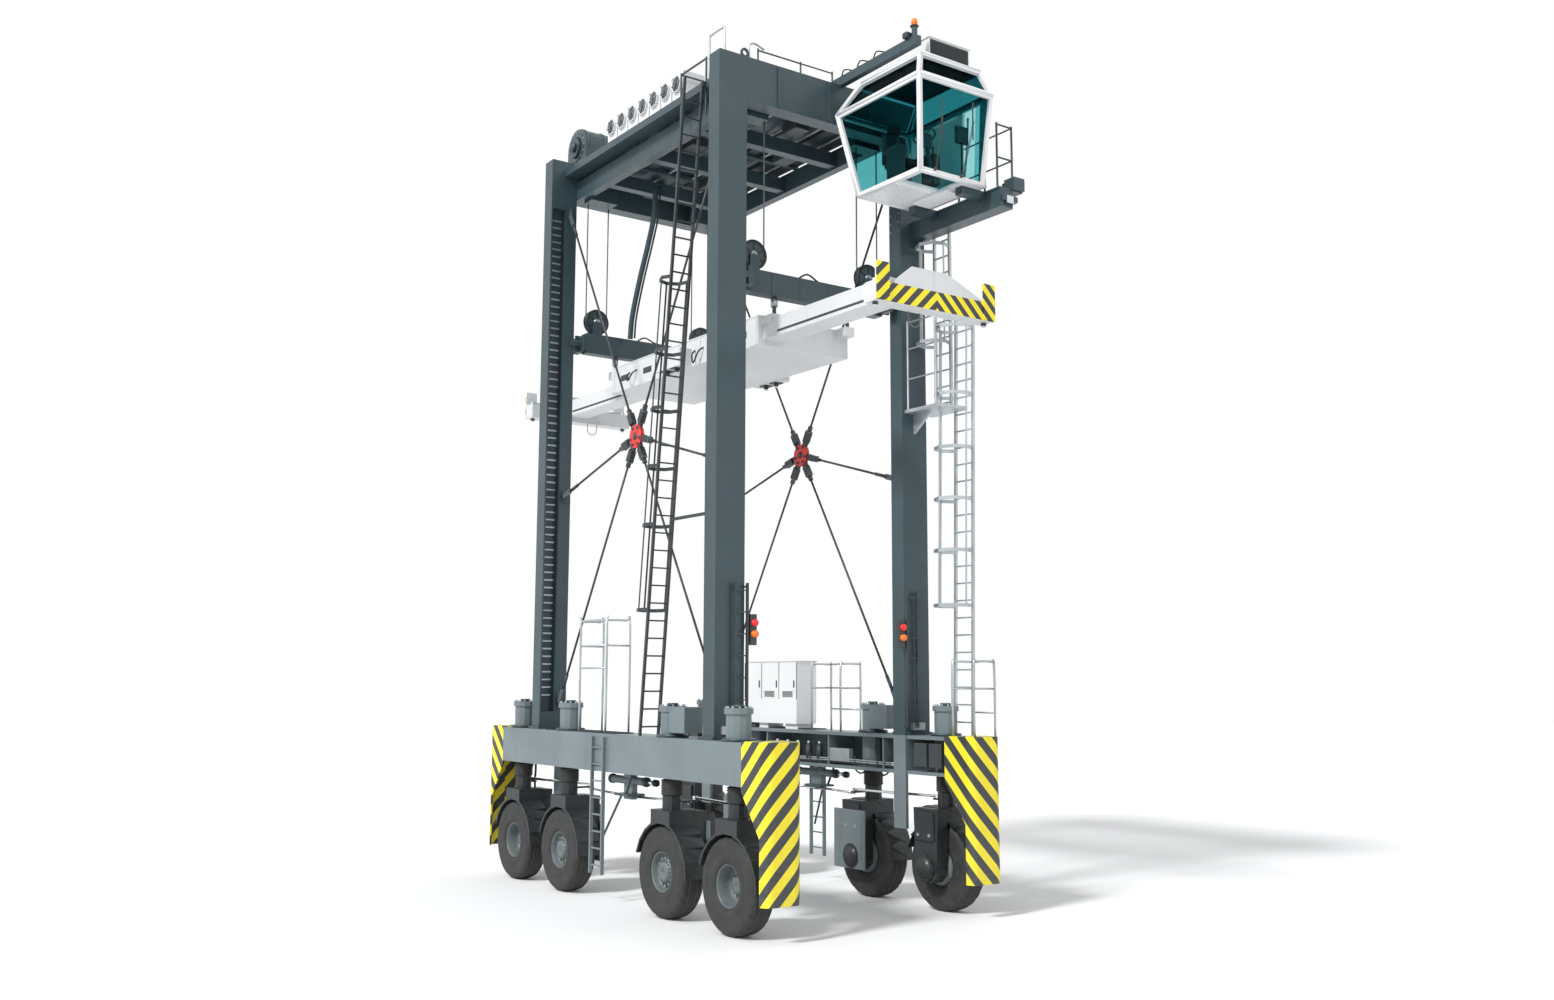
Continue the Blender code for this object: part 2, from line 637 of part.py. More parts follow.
far_y = BEAM_OUTER + GAP + 0.025
far_foot = (3.98, far_y, 2.40)
far_top = (4.16, far_y, 10.45)
far = rung_ladder(far_foot, far_top, 0.30, 0.22, (1, 0, 0), 0.07, 0.05)
far += cage(far_foot, far_top, (5.15, 6.1, 7.0, 7.9, 8.85, 10.05), 0.34, (0, -0.26), 90)
upper_foot = (3.69, 2.33, 8.64)
upper_top = (3.69, 2.33, 12.10)
far += rung_ladder(upper_foot, upper_top, 0.30, 0.20, (1, 0, 0), 0.07, 0.05)
far += cage(upper_foot, upper_top, (9.85, 10.75, 11.64), 0.31, (0, -0.235), 90)
far.append(box((LEG_X_OUT + GAP, 4.20), (1.74, far_y), (8.60, 8.66)))
far.append(outline([(LEG_X_OUT + GAP, 8.25), (LEG_X_OUT + 0.5, 8.62), (LEG_X_OUT + GAP, 8.62)], 1.95, 2.0))
far += handrail([(3.36, 1.77), (4.10, 1.77)], 8.66, 0.018, (0.55, 1.10, 1.62))
node("caged_ladder_left", far, zinc)

# bumpers: a plate bent round the beam's end, cut away over the wheel
for side_name, side in SIDES:
    for end_name, end in (("front", 1), ("rear", -1)):
        def bent(offset):
            corner = BUMPER_ROUND - offset
            inner_y = LEG_Y_IN + 0.01 + offset
            outer_y = BEAM_OUTER - offset
            face = BUMPER_FRONT - offset
            line = [(BEAM_END + GAP, outer_y)]
            line += arc(face - corner, outer_y - corner, corner, 90, 0, 5)
            line += arc(face - corner, inner_y + corner, corner, 0, -90, 5)
            line.append((BEAM_END + GAP, inner_y))
            return [(end * px, side * py) for px, py in line]

        plate = outline(bent(0.0) + bent(BUMPER_PLATE)[::-1], BUMPER_BOTTOM, BUMPER_TOP, "Z")
        lid = outline(bent(0.001), BUMPER_TOP - 0.025, BUMPER_TOP - 0.002, "Z")
        reach = (end * (BEAM_END + GAP), end * (BUMPER_FRONT - 0.01))
        bracket = box(reach, (side * 1.95, side * 2.15), (2.35, 2.75))
        wedge_points = [
            (BEAM_END - 0.1, 2.18),
            (BEAM_END + 0.01, 2.18),
            (4.77, 1.53),
            (4.77, BUMPER_BOTTOM - 0.1),
            (BEAM_END - 0.1, BUMPER_BOTTOM - 0.1),
        ]
        wedge = outline([(end * px, pz) for px, pz in wedge_points], -2.6, 2.6)
        bumper_name = "bumper_" + end_name + "_" + side_name
        node(bumper_name, [plate, lid, bracket], stripe_yellow, (0, 0, 0), [wedge])


# cab: a hull lofted through floor, waist and roof rectangles
def rectangle(section, inset, rise):
    x0, x1, y0, y1, z = section
    return [
        Vector((x0 + inset, y0 + inset, z + rise)),
        Vector((x1 - inset, y0 + inset, z + rise)),
        Vector((x1 - inset, y1 - inset, z + rise)),
        Vector((x0 + inset, y1 - inset, z + rise)),
    ]


def hull(inset):
    work = bmesh.new()
    rings = [
        rectangle(CAB_FLOOR, inset, inset),
        rectangle(CAB_WAIST, inset, 0.0),
        rectangle(CAB_ROOF, inset, -inset),
    ]
    verts = [[work.verts.new(point) for point in ring] for ring in rings]
    work.faces.new(verts[0][::-1])
    work.faces.new(verts[2])
    for low, high in zip(verts, verts[1:]):
        for i in range(4):
            j = (i + 1) % 4
            work.faces.new((low[i], low[j], high[j], high[i]))
    bmesh.ops.recalc_face_normals(work, faces=work.faces)
    return from_bmesh(work, "hull")


def pane(corners, margins, out, inward):
    """A flat block over a four-sided panel: margins are (bottom, right, top, left) in metres."""
    bottom, right, top, left = margins
    a, b, c, d = corners
    normal = (b - a).cross(d - a).normalized()

    def inner(p, along_to, along, up_to, up):
        return p + (along_to - p).normalized() * along + (up_to - p).normalized() * up

    face = [
        inner(a, b, left, d, bottom),
        inner(b, a, right, c, bottom),
        inner(c, d, right, b, top),
        inner(d, c, left, a, top),
    ]
    work = bmesh.new()
    outer = [work.verts.new(p + normal * out) for p in face]
    inside = [work.verts.new(p - normal * inward) for p in face]
    work.faces.new(outer)
    work.faces.new(inside[::-1])
    for i in range(4):
        j = (i + 1) % 4
        work.faces.new((inside[i], inside[j], outer[j], outer[i]))
    bmesh.ops.recalc_face_normals(work, faces=work.faces)
    return from_bmesh(work, "pane")


floor_ring = rectangle(CAB_FLOOR, 0, 0)
waist_ring = rectangle(CAB_WAIST, 0, 0)
roof_ring = rectangle(CAB_ROOF, 0, 0)
POST = 0.07
DOOR_X = (4.00, 4.74)
DOOR_Z = (12.27, 13.72)
WALL_TILT = (CAB_WAIST[3] - CAB_FLOOR[3]) / (CAB_WAIST[4] - CAB_FLOOR[4])


def wall_y(z):
    return CAB_FLOOR[3] + (z - CAB_FLOOR[4]) * WALL_TILT


def wall_block(x, z, near, far):
    """A block on the left wall's slope between the distances near and far from its outer face."""
    low = wall_y(z[0])
    high = wall_y(z[1])
    points = [(low + near, z[0]), (low + far, z[0]), (high + far, z[1]), (high + near, z[1])]
    return outline(points, x[0], x[1], "X")


windows = []
for i in range(4):
    j = (i + 1) % 4
    upper = (waist_ring[i], waist_ring[j], roof_ring[j], roof_ring[i])
    windows.append(pane(upper, (POST,) * 4, 0.1, 0.2))
    if i != 2:
        lower = (floor_ring[i], floor_ring[j], waist_ring[j], waist_ring[i])
        windows.append(pane(lower, (POST,) * 4, 0.1, 0.2))
door_hole = wall_block(DOOR_X, DOOR_Z, -0.2, 0.2)
side_light = wall_block((4.86, 5.30), DOOR_Z, -0.2, 0.2)
floor_front = box((4.78, 5.30), (0.45, 1.30), (12.1, 12.3))
floor_rear = box((3.86, 4.25), (0.42, 0.95), (12.1, 12.3))
cooler = box((4.72, 5.22), (0.72, 1.63), (CAB_ROOF[4] - 0.02, 14.69))
duct = box((3.95, 4.75), (0.62, 1.3), (CAB_ROOF[4] - 0.02, 14.50))
shell_cuts = [hull(CAB_SKIN), door_hole, side_light, floor_front, floor_rear] + windows
node("cab_shell", [hull(0.0), cooler, duct], white_paint, (0, 0, 0), shell_cuts)

glass_cuts = [hull(CAB_SKIN + GAP + GLASS_SKIN), wall_block((3.5, 5.2), (12.32, 13.70), -0.3, 0.2)]
node("cab_glass", [hull(CAB_SKIN + GAP)], tinted_glass, (0, 0, 0), glass_cuts)

door_x = (DOOR_X[0] - 0.03, DOOR_X[1] + 0.03)
door_z = (DOOR_Z[0] - 0.02, DOOR_Z[1] - 0.0)
door = wall_block(door_x, door_z, 0.008, 0.043)
door_handle = box((4.62, 4.66), (wall_y(12.95) + 0.03, wall_y(12.95) + 0.08), (12.85, 13.05))
door_recess = [
    wall_block((door_x[0] + 0.07, door_x[1] - 0.14), (door_z[0] + 0.10, door_z[1] - 0.08), near, far)
    for near, far in ((-0.02, 0.020), (0.030, 0.08))
]
door_pad = wall_block((door_x[0] + 0.005, door_x[0] + 0.025), (12.5, 13.5), GAP, 0.012)
door_origin = (door_x[0], wall_y(door_z[0]), door_z[0])
node("cab_door", [door, door_handle, door_pad], white_paint, door_origin, door_recess)

# cab carrier: an arm from the front left leg with the walkway, rails and work lights
carrier_shapes = [
    box((LEG_X_OUT + GAP, 5.62), (1.93, 2.22), (11.84, 12.17)),
    box((3.98, 5.62), (1.91, 2.455), (12.16, 12.19)),
    box((3.86, 4.02), (1.40, 2.0), (12.06, CAB_FLOOR[4] - GAP)),
    box((5.08, 5.24), (1.40, 2.0), (12.06, CAB_FLOOR[4] - GAP)),
    outline([(LEG_X_OUT + GAP, 11.70), (3.60, 11.86), (LEG_X_OUT + GAP, 11.86)], 2.05, 2.10),
    box((5.44, 5.68), (2.20, 2.45), (12.18, 12.40)),
    box((5.30, 5.66), (1.95, 2.30), (11.95, 12.05)),
]
carrier_shapes += handrail([(5.40, 2.08), (5.40, 2.435), (4.05, 2.435)], 12.19, 0.02, (0.62, 1.24))
carrier_shapes.append(rod((4.72, 2.435, 12.17), (4.72, 2.435, 13.42), 0.02, 6))
node("cab_carrier", carrier_shapes, grey_blue)

# lifting frame: two head beams that run between the legs, with rope sheaves and links
for end_name, end in (("front", 1), ("rear", -1)):
    x = end * HEAD_X
    middle = (HEAD_BOTTOM + HEAD_TOP) / 2
    head_shapes = [box((x - HEAD_WIDTH / 2, x + HEAD_WIDTH / 2), (-1.52, 1.52), (HEAD_BOTTOM, HEAD_TOP))]
    for side in (-1, 1):
        tip = Vector((x, side * SHEAVE_Y, SHEAVE_Z))
        half = Vector((0.045, 0, 0))
        head_shapes += [
            box(
                (end * (HEAD_X - 0.10), end * 3.20),
                (side * 1.48, side * 1.58),
                (middle - 0.16, middle + 0.16),
            ),
            rod((end * 3.02, side * 1.62, middle), (end * 3.20, side * 1.62, middle), 0.06, 12),
            rod((end * 2.90, side * 1.50, middle), (end * 2.90, side * 1.78, middle), 0.06, 12),
            rod(tip - half, tip + half, SHEAVE_RADIUS, 16),
            box((x - 0.08, x + 0.08), (tip.y - 0.10, tip.y + 0.10), (HEAD_TOP - 0.02, SHEAVE_Z)),
            rod((x, side * 0.80, HEAD_BOTTOM + 0.02), (x, side * 0.80, FRAME_TOP + GAP), 0.035, 8),
        ]
    node("lift_frame_" + end_name, head_shapes, grey_blue)

# spreader: centre frame with twin-lift units and two telescopic beams side by side
frame_shapes = [
    box((-FRAME_HALF_X, FRAME_HALF_X), (-FRAME_HALF_Y, FRAME_HALF_Y), (FRAME_BOTTOM, FRAME_TOP)),
]
for end in (-1, 1):
    for side in (-1, 1):
        frame_shapes.append(
            box(
                (end * (FRAME_HALF_X - 0.1), end * (HEAD_X + 0.08)),
                (side * 0.70, side * 0.90),
                (9.96, FRAME_TOP),
            )
        )
for side in (-1, 1):
    frame_shapes.append(box((-0.45, 0.45), (side * 0.9, side * 1.25), (9.62, 9.95)))
    for x in (-0.17, 0.17):
        frame_shapes.append(rod((x, side * LOCK_Y, LOCK_TIP), (x, side * LOCK_Y, 9.66), 0.035, 8))
tele_half = TELE_WIDTH / 2
frame_cuts = [
    box(
        (-2.2, HEAD_X + 0.2),
        (FRONT_TELE_Y - tele_half - 0.008, FRONT_TELE_Y + tele_half + 0.008),
        (TELE_BOTTOM - GAP, TELE_TOP + 0.008),
    ),
    box(
        (-HEAD_X - 0.2, 2.2),
        (REAR_TELE_Y - tele_half - 0.008, REAR_TELE_Y + tele_half + 0.008),
        (TELE_BOTTOM - GAP, TELE_TOP + 0.008),
    ),
]
for x in ((-2.3, -0.9), (-0.6, 0.6), (0.9, 2.3)):
    frame_cuts.append(box(x, (0.22, 0.86), (FRAME_BOTTOM + 0.05, FRAME_TOP + 0.1)))
node("spreader_frame", frame_shapes, light_grey, (0, 0, 0), frame_cuts)

for end_name, end, tele_y in (("front", 1, FRONT_TELE_Y), ("rear", -1, REAR_TELE_Y)):
    end_shapes = [
        box((end * 1.15, end * LOCK_X), (tele_y - tele_half, tele_y + tele_half), (TELE_BOTTOM, TELE_TOP)),
        box(
            (end * (LOCK_X - END_HALF_X), end * (LOCK_X + END_HALF_X - 0.02)),
            (-LOCK_Y - 0.09, LOCK_Y + 0.09),
            (END_BOTTOM, END_TOP),
        ),
    ]
    face = end * (LOCK_X + END_HALF_X)
    guide_z = (END_BOTTOM + 0.01, END_TOP + 0.30)
    for side in (-1, 1):
        lock = (end * LOCK_X, side * LOCK_Y, LOCK_TIP)
        end_shapes += [
            rod(lock, (lock[0], lock[1], END_BOTTOM + 0.03), 0.035, 8),
            box((face - end * 0.05, face), (side * 0.98, side * (LOCK_Y + 0.10)), guide_z),
        ]
    ridge = [
        (-0.86, END_TOP - 0.05),
        (0.98, END_TOP - 0.05),
        (0.98, END_TOP + 0.02),
        (0.22, END_TOP + 0.33),
        (-0.50, END_TOP + 0.33),
        (-0.86, END_TOP + 0.05),
    ]
    ridge_x = sorted((face - end * 0.06, face - end * 0.03))
    end_shapes.append(outline(ridge, ridge_x[0], ridge_x[1], "X"))
    node("spreader_" + end_name, end_shapes, light_grey)

for kept in list(shapes_kept.objects):
    kept.hide_render = True
    kept.display_type = "WIRE"
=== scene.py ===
# Straddle carrier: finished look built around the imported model
import math

import bmesh
import bpy
from mathutils import Matrix, Vector


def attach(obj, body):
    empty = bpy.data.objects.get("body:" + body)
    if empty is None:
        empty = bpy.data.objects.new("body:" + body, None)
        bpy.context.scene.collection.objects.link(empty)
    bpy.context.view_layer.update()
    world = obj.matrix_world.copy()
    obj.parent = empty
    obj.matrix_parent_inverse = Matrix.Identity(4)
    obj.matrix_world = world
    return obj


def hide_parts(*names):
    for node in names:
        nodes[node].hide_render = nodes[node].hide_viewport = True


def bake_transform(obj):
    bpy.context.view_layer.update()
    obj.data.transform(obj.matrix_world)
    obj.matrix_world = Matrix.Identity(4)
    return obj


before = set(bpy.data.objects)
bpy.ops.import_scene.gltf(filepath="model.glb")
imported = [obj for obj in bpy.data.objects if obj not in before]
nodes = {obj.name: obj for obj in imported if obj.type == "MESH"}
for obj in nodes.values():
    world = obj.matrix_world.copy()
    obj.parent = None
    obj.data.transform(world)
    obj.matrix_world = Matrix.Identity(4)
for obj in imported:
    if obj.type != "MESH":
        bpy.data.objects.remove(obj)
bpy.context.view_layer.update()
sides = {"right": -1, "left": 1}
axles = {"front_outer": 3.83, "front_inner": 1.85, "rear_inner": -1.85, "rear_outer": -3.83}
trackHalf = 2.145
hubHeight = 0.7475


# ---- node helpers
def link(tree, source, target):
    tree.links.new(source, target)


def mathNode(tree, operation, first, second=None):
    step = tree.nodes.new("ShaderNodeMath")
    step.operation = operation
    for socket, value in zip(step.inputs, (first, second)):
        if value is None:
            continue
        if isinstance(value, (int, float)):
            socket.default_value = value
        else:
            link(tree, value, socket)
    return step.outputs[0]


def noiseNode(tree, coords, scale, detail=4.0, rough=0.55, stretch=(1, 1, 1)):
    mapping = tree.nodes.new("ShaderNodeMapping")
    mapping.inputs["Scale"].default_value = stretch
    link(tree, coords, mapping.inputs["Vector"])
    noise = tree.nodes.new("ShaderNodeTexNoise")
    noise.inputs["Scale"].default_value = scale
    noise.inputs["Detail"].default_value = detail
    noise.inputs["Roughness"].default_value = rough
    link(tree, mapping.outputs["Vector"], noise.inputs["Vector"])
    return noise.outputs["Fac"]


def rangeNode(tree, value, low, high, outLow=0.0, outHigh=1.0):
    step = tree.nodes.new("ShaderNodeMapRange")
    step.inputs["From Min"].default_value = low
    step.inputs["From Max"].default_value = high
    step.inputs["To Min"].default_value = outLow
    step.inputs["To Max"].default_value = outHigh
    link(tree, value, step.inputs["Value"])
    return step.outputs["Result"]


def mixNode(tree, factor, first, second):
    step = tree.nodes.new("ShaderNodeMix")
    step.data_type = "RGBA"
    if isinstance(factor, (int, float)):
        step.inputs["Factor"].default_value = factor
    else:
        link(tree, factor, step.inputs["Factor"])
    for name, value in (("A", first), ("B", second)):
        socket = [s for s in step.inputs if s.name == name and s.type == "RGBA"][0]
        if isinstance(value, tuple):
            socket.default_value = (*value, 1.0)
        else:
            link(tree, value, socket)
    return [s for s in step.outputs if s.type == "RGBA"][0]


# ---- shared effect: tone drift, rain streaks, road dust near the ground and fine orange peel
def buildWeather():
    group = bpy.data.node_groups.new("weather", "ShaderNodeTree")
    face = group.interface
    face.new_socket("Colour", in_out="INPUT", socket_type="NodeSocketColor")
    for name, value in (("Drift", 0.12), ("Streaks", 0.2), ("Dust", 0.25), ("Gloss", 0.4), ("Peel", 1.0)):
        socket = face.new_socket(name, in_out="INPUT", socket_type="NodeSocketFloat")
        socket.default_value = value
    face.new_socket("Colour", in_out="OUTPUT", socket_type="NodeSocketColor")
    face.new_socket("Roughness", in_out="OUTPUT", socket_type="NodeSocketFloat")
    face.new_socket("Height", in_out="OUTPUT", socket_type="NodeSocketFloat")
    entry = group.nodes.new("NodeGroupInput")
    leave = group.nodes.new("NodeGroupOutput")
    coords = group.nodes.new("ShaderNodeTexCoord").outputs["Object"]
    split = group.nodes.new("ShaderNodeSeparateXYZ")
    link(group, coords, split.inputs[0])
    broad = noiseNode(group, coords, 0.9, 5.0)
    fine = noiseNode(group, coords, 14.0, 6.0)
    rain = noiseNode(group, coords, 2.2, 5.0, 0.6, (4.5, 4.5, 0.22))
    grit = noiseNode(group, coords, 90.0, 2.0)
    drift = mathNode(group, "MULTIPLY", rangeNode(group, broad, 0.3, 0.7, -1.0, 1.0), entry.outputs["Drift"])
    hue = group.nodes.new("ShaderNodeHueSaturation")
    link(group, entry.outputs["Colour"], hue.inputs["Color"])
    link(group, mathNode(group, "ADD", drift, 1.0), hue.inputs["Value"])
    streak = mathNode(group, "MULTIPLY", rangeNode(group, rain, 0.56, 0.76), entry.outputs["Streaks"])
    streaked = mixNode(group, streak, hue.outputs["Color"], (0.045, 0.05, 0.05))
    low = rangeNode(group, split.outputs["Z"], 2.6, 0.0)
    cloud = mathNode(group, "MULTIPLY", low, rangeNode(group, fine, 0.35, 0.7))
    dusty = mixNode(group, mathNode(group, "MULTIPLY", cloud, entry.outputs["Dust"]), streaked, (0.30, 0.28, 0.25))
    link(group, dusty, leave.inputs["Colour"])
    rough = mathNode(group, "ADD", entry.outputs["Gloss"], rangeNode(group, fine, 0.3, 0.7, -0.06, 0.10))
    rough = mathNode(group, "ADD", rough, mathNode(group, "MULTIPLY", cloud, 0.25))
    link(group, rough, leave.inputs["Roughness"])
    tall = mathNode(group, "ADD", mathNode(group, "MULTIPLY", grit, 0.3), mathNode(group, "MULTIPLY", fine, 0.7))
    link(group, mathNode(group, "MULTIPLY", tall, entry.outputs["Peel"]), leave.inputs["Height"])
    return group


# ---- shared effect: slanting warning stripes that lean towards the machine's middle and follow a bent plate
corners = [tuple(corner) for corner in nodes["bumper_front_left"].bound_box]
bumperFront = max(corner[0] for corner in corners)
bumperMiddle = (max(corner[1] for corner in corners) + min(corner[1] for corner in corners)) / 2


def buildStripes():
    group = bpy.data.node_groups.new("warningStripes", "ShaderNodeTree")
    face = group.interface
    socket = face.new_socket("Period", in_out="INPUT", socket_type="NodeSocketFloat")
    socket.default_value = 0.42
    face.new_socket("Mask", in_out="OUTPUT", socket_type="NodeSocketFloat")
    entry = group.nodes.new("NodeGroupInput")
    leave = group.nodes.new("NodeGroupOutput")
    split = group.nodes.new("ShaderNodeSeparateXYZ")
    link(group, group.nodes.new("ShaderNodeTexCoord").outputs["Object"], split.inputs[0])
    away = mathNode(group, "ABSOLUTE", split.outputs["Y"])
    back = mathNode(group, "SUBTRACT", mathNode(group, "ABSOLUTE", split.outputs["X"]), bumperFront)
    turn = mathNode(group, "SIGN", mathNode(group, "SUBTRACT", away, bumperMiddle))
    across = mathNode(group, "SUBTRACT", away, mathNode(group, "MULTIPLY", back, turn))
    run = mathNode(group, "DIVIDE", mathNode(group, "ADD", split.outputs["Z"], across), entry.outputs["Period"])
    part = mathNode(group, "FRACT", mathNode(group, "ADD", run, 40.0))
    link(group, rangeNode(group, mathNode(group, "ABSOLUTE", mathNode(group, "SUBTRACT", part, 0.5)), 0.245, 0.255),
         leave.inputs["Mask"])
    return group


weather = buildWeather()
stripes = buildStripes()


def startMaterial(name):
    made = bpy.data.materials.new(name)
    made.use_nodes = True
    return made, made.node_tree, made.node_tree.nodes["Principled BSDF"]


def weathered(tree, shader, colour, drift, streaks, dust, gloss, peel, bump=0.0006):
    step = tree.nodes.new("ShaderNodeGroup")
    step.node_tree = weather
    if isinstance(colour, tuple):
        step.inputs["Colour"].default_value = (*colour, 1.0)
    else:
        link(tree, colour, step.inputs["Colour"])
    for name, value in (("Drift", drift), ("Streaks", streaks), ("Dust", dust), ("Gloss", gloss), ("Peel", peel)):
        step.inputs[name].default_value = value
    link(tree, step.outputs["Colour"], shader.inputs["Base Color"])
    link(tree, step.outputs["Roughness"], shader.inputs["Roughness"])
    raised = tree.nodes.new("ShaderNodeBump")
    raised.inputs["Strength"].default_value = 0.5
    raised.inputs["Distance"].default_value = bump
    link(tree, step.outputs["Height"], raised.inputs["Height"])
    link(tree, raised.outputs["Normal"], shader.inputs["Normal"])
    return step


def paint(name, colour, gloss=0.4, drift=0.10, streaks=0.22, dust=0.3, metal=0.0, peel=1.0, bump=0.0006):
    made, tree, shader = startMaterial(name)
    weathered(tree, shader, colour, drift, streaks, dust, gloss, peel, bump)
    shader.inputs["Metallic"].default_value = metal
    return made


def stripedPaint(name, yellow, dark, plain, period, fromX):
    made, tree, shader = startMaterial(name)
    step = tree.nodes.new("ShaderNodeGroup")
    step.node_tree = stripes
    step.inputs["Period"].default_value = period
    banded = mixNode(tree, step.outputs["Mask"], yellow, dark)
    if plain is not None:
        split = tree.nodes.new("ShaderNodeSeparateXYZ")
        link(tree, tree.nodes.new("ShaderNodeTexCoord").outputs["Object"], split.inputs[0])
        outer = rangeNode(tree, mathNode(tree, "ABSOLUTE", split.outputs["X"]), fromX - 0.001, fromX + 0.001)
        banded = mixNode(tree, outer, plain, banded)
    weathered(tree, shader, banded, 0.06, 0.12, 0.2, 0.4, 1.0)
    return made


looks = {
    "structure": paint("greyBluePaint", (0.036, 0.064, 0.076), 0.36, 0.12, 0.25, 0.20),
    # painted light: the side beams and motor covers get a lighter copy of the grey-blue structure paint, standing in
    # for the sheen and light their faces catch
    "beam": paint("greyBluePaintedLight", (0.150, 0.190, 0.205), 0.38, 0.12, 0.22, 0.20),
    "fork": paint("forkBlackPaint", (0.012, 0.017, 0.020), 0.40, 0.2, 0.1, 0.12),
    "rim": paint("rimGreyPaint", (0.10, 0.125, 0.135), 0.4, 0.15, 0.1, 0.25),
    "light": paint("lightGreyPaint", (0.66, 0.68, 0.69), 0.4, 0.05, 0.12, 0.2),
    "white": paint("whitePaint", (0.80, 0.81, 0.82), 0.3, 0.03, 0.06, 0.15),
    "red": paint("starRedPaint", (0.70, 0.035, 0.03), 0.35, 0.08, 0.15, 0.1),
    "zinc": paint("galvanised", (0.46, 0.50, 0.52), 0.42, 0.25, 0.1, 0.2, 0.75, 1.4),
    "darkSteel": paint("darkSteel", (0.045, 0.055, 0.06), 0.45, 0.2, 0.1, 0.4, 0.2),
    "hose": paint("hoseRubber", (0.012, 0.013, 0.014), 0.55, 0.2, 0.05, 0.3),
    "boot": paint("bellowsRubber", (0.018, 0.02, 0.021), 0.7, 0.2, 0.05, 0.5),
    "rope": paint("wireRope", (0.16, 0.17, 0.18), 0.4, 0.3, 0.1, 0.0, 0.7, 2.0),
    "chrome": paint("rodChrome", (0.75, 0.77, 0.78), 0.12, 0.03, 0.0, 0.1, 1.0, 0.2),
    "cloth": paint("seatCloth", (0.03, 0.032, 0.036), 0.85, 0.25, 0.0, 0.0, 0.0, 3.0, 0.002),
    "plastic": paint("consolePlastic", (0.05, 0.055, 0.06), 0.5, 0.1, 0.0, 0.0),
    "bumper": stripedPaint("warningPaint", (0.88, 0.74, 0.02), (0.035, 0.04, 0.045), None, 0.40, 0.0),
    "spreaderEnd": stripedPaint("spreaderEndPaint", (0.88, 0.74, 0.02), (0.035, 0.04, 0.045),
                                (0.66, 0.68, 0.69), 0.26, 6.1375),
}


def tyreRubber():
    made, tree, shader = startMaterial("tyreRubber")
    coords = tree.nodes.new("ShaderNodeTexCoord").outputs["Object"]
    scuff = rangeNode(tree, noiseNode(tree, coords, 5.0, 8.0, 0.65), 0.35, 0.7)
    tone = mixNode(tree, scuff, (0.010, 0.011, 0.012), (0.024, 0.026, 0.026))
    weathered(tree, shader, tone, 0.15, 0.0, 0.12, 0.62, 1.2, 0.0010)
    return made


def tintedGlass():
    made, tree, shader = startMaterial("tintedGlass")
    coords = tree.nodes.new("ShaderNodeTexCoord").outputs["Object"]
    split = tree.nodes.new("ShaderNodeSeparateXYZ")
    link(tree, coords, split.inputs[0])
    upper = rangeNode(tree, split.outputs["Z"], 13.76, 13.80)  # the shaded band above the waist
    tone = mixNode(tree, upper, (0.30, 0.66, 0.68), (0.05, 0.28, 0.31))
    smear = rangeNode(tree, noiseNode(tree, coords, 3.0, 4.0), 0.4, 0.7, 0.94, 1.0)
    hue = tree.nodes.new("ShaderNodeHueSaturation")
    link(tree, tone, hue.inputs["Color"])
    link(tree, smear, hue.inputs["Value"])
    link(tree, hue.outputs["Color"], shader.inputs["Base Color"])
    shader.inputs["Roughness"].default_value = 0.02
    shader.inputs["Transmission Weight"].default_value = 1.0
    shader.inputs["IOR"].default_value = 1.05
    return made


def glowing(name, colour, strength):
    made, tree, shader = startMaterial(name)
    coords = tree.nodes.new("ShaderNodeTexCoord").outputs["Object"]
    ribs = tree.nodes.new("ShaderNodeTexWave")
    ribs.inputs["Scale"].default_value = 18.0
    link(tree, coords, ribs.inputs["Vector"])
    dim = tuple(c * 0.6 for c in colour)
    link(tree, mixNode(tree, ribs.outputs["Fac"], colour, dim), shader.inputs["Base Color"])
    shader.inputs["Roughness"].default_value = 0.15
    shader.inputs["Emission Color"].default_value = (*colour, 1.0)
    shader.inputs["Emission Strength"].default_value = strength
    return made


def starFinish():
    # red hub plate, dark clevises, steel rods and dark tensioners, told apart by their distance from the hub
    made, tree, shader = startMaterial("starBraceFinish")
    split = tree.nodes.new("ShaderNodeSeparateXYZ")
    link(tree, tree.nodes.new("ShaderNodeTexCoord").outputs["Object"], split.inputs[0])
    rise = mathNode(tree, "SUBTRACT", split.outputs["Z"], 8.28)
    square = mathNode(tree, "ADD", mathNode(tree, "MULTIPLY", split.outputs["X"], split.outputs["X"]),
                      mathNode(tree, "MULTIPLY", rise, rise))
    reach = mathNode(tree, "SQRT", square, 0.0)
    tone = mixNode(tree, rangeNode(tree, reach, 0.215, 0.220), (0.70, 0.030, 0.025), (0.020, 0.026, 0.030))
    tone = mixNode(tree, rangeNode(tree, reach, 0.50, 0.505), tone, (0.10, 0.12, 0.13))
    weathered(tree, shader, tone, 0.1, 0.1, 0.0, 0.38, 1.0)
    return made


looks["tyre"] = tyreRubber()
looks["star"] = starFinish()
looks["glass"] = tintedGlass()
looks["orangeLens"] = glowing("orangeLens", (0.95, 0.20, 0.02), 0.3)
looks["redLens"] = glowing("redLens", (0.80, 0.02, 0.02), 0.3)
looks["lampLens"] = glowing("lampLens", (0.75, 0.80, 0.82), 0.05)
print("materials ready")


# ---- mesh helpers
class Shape:
    def __init__(self):
        self.mesh = bmesh.new()
        self.looks = []

    def slot(self, look):
        if look not in self.looks:
            self.looks.append(look)
        return self.looks.index(look)

    def keep(self, before, look, smooth=False):
        index = self.slot(look)
        for face in self.mesh.faces:
            if face not in before:
                face.material_index = index
                face.smooth = smooth


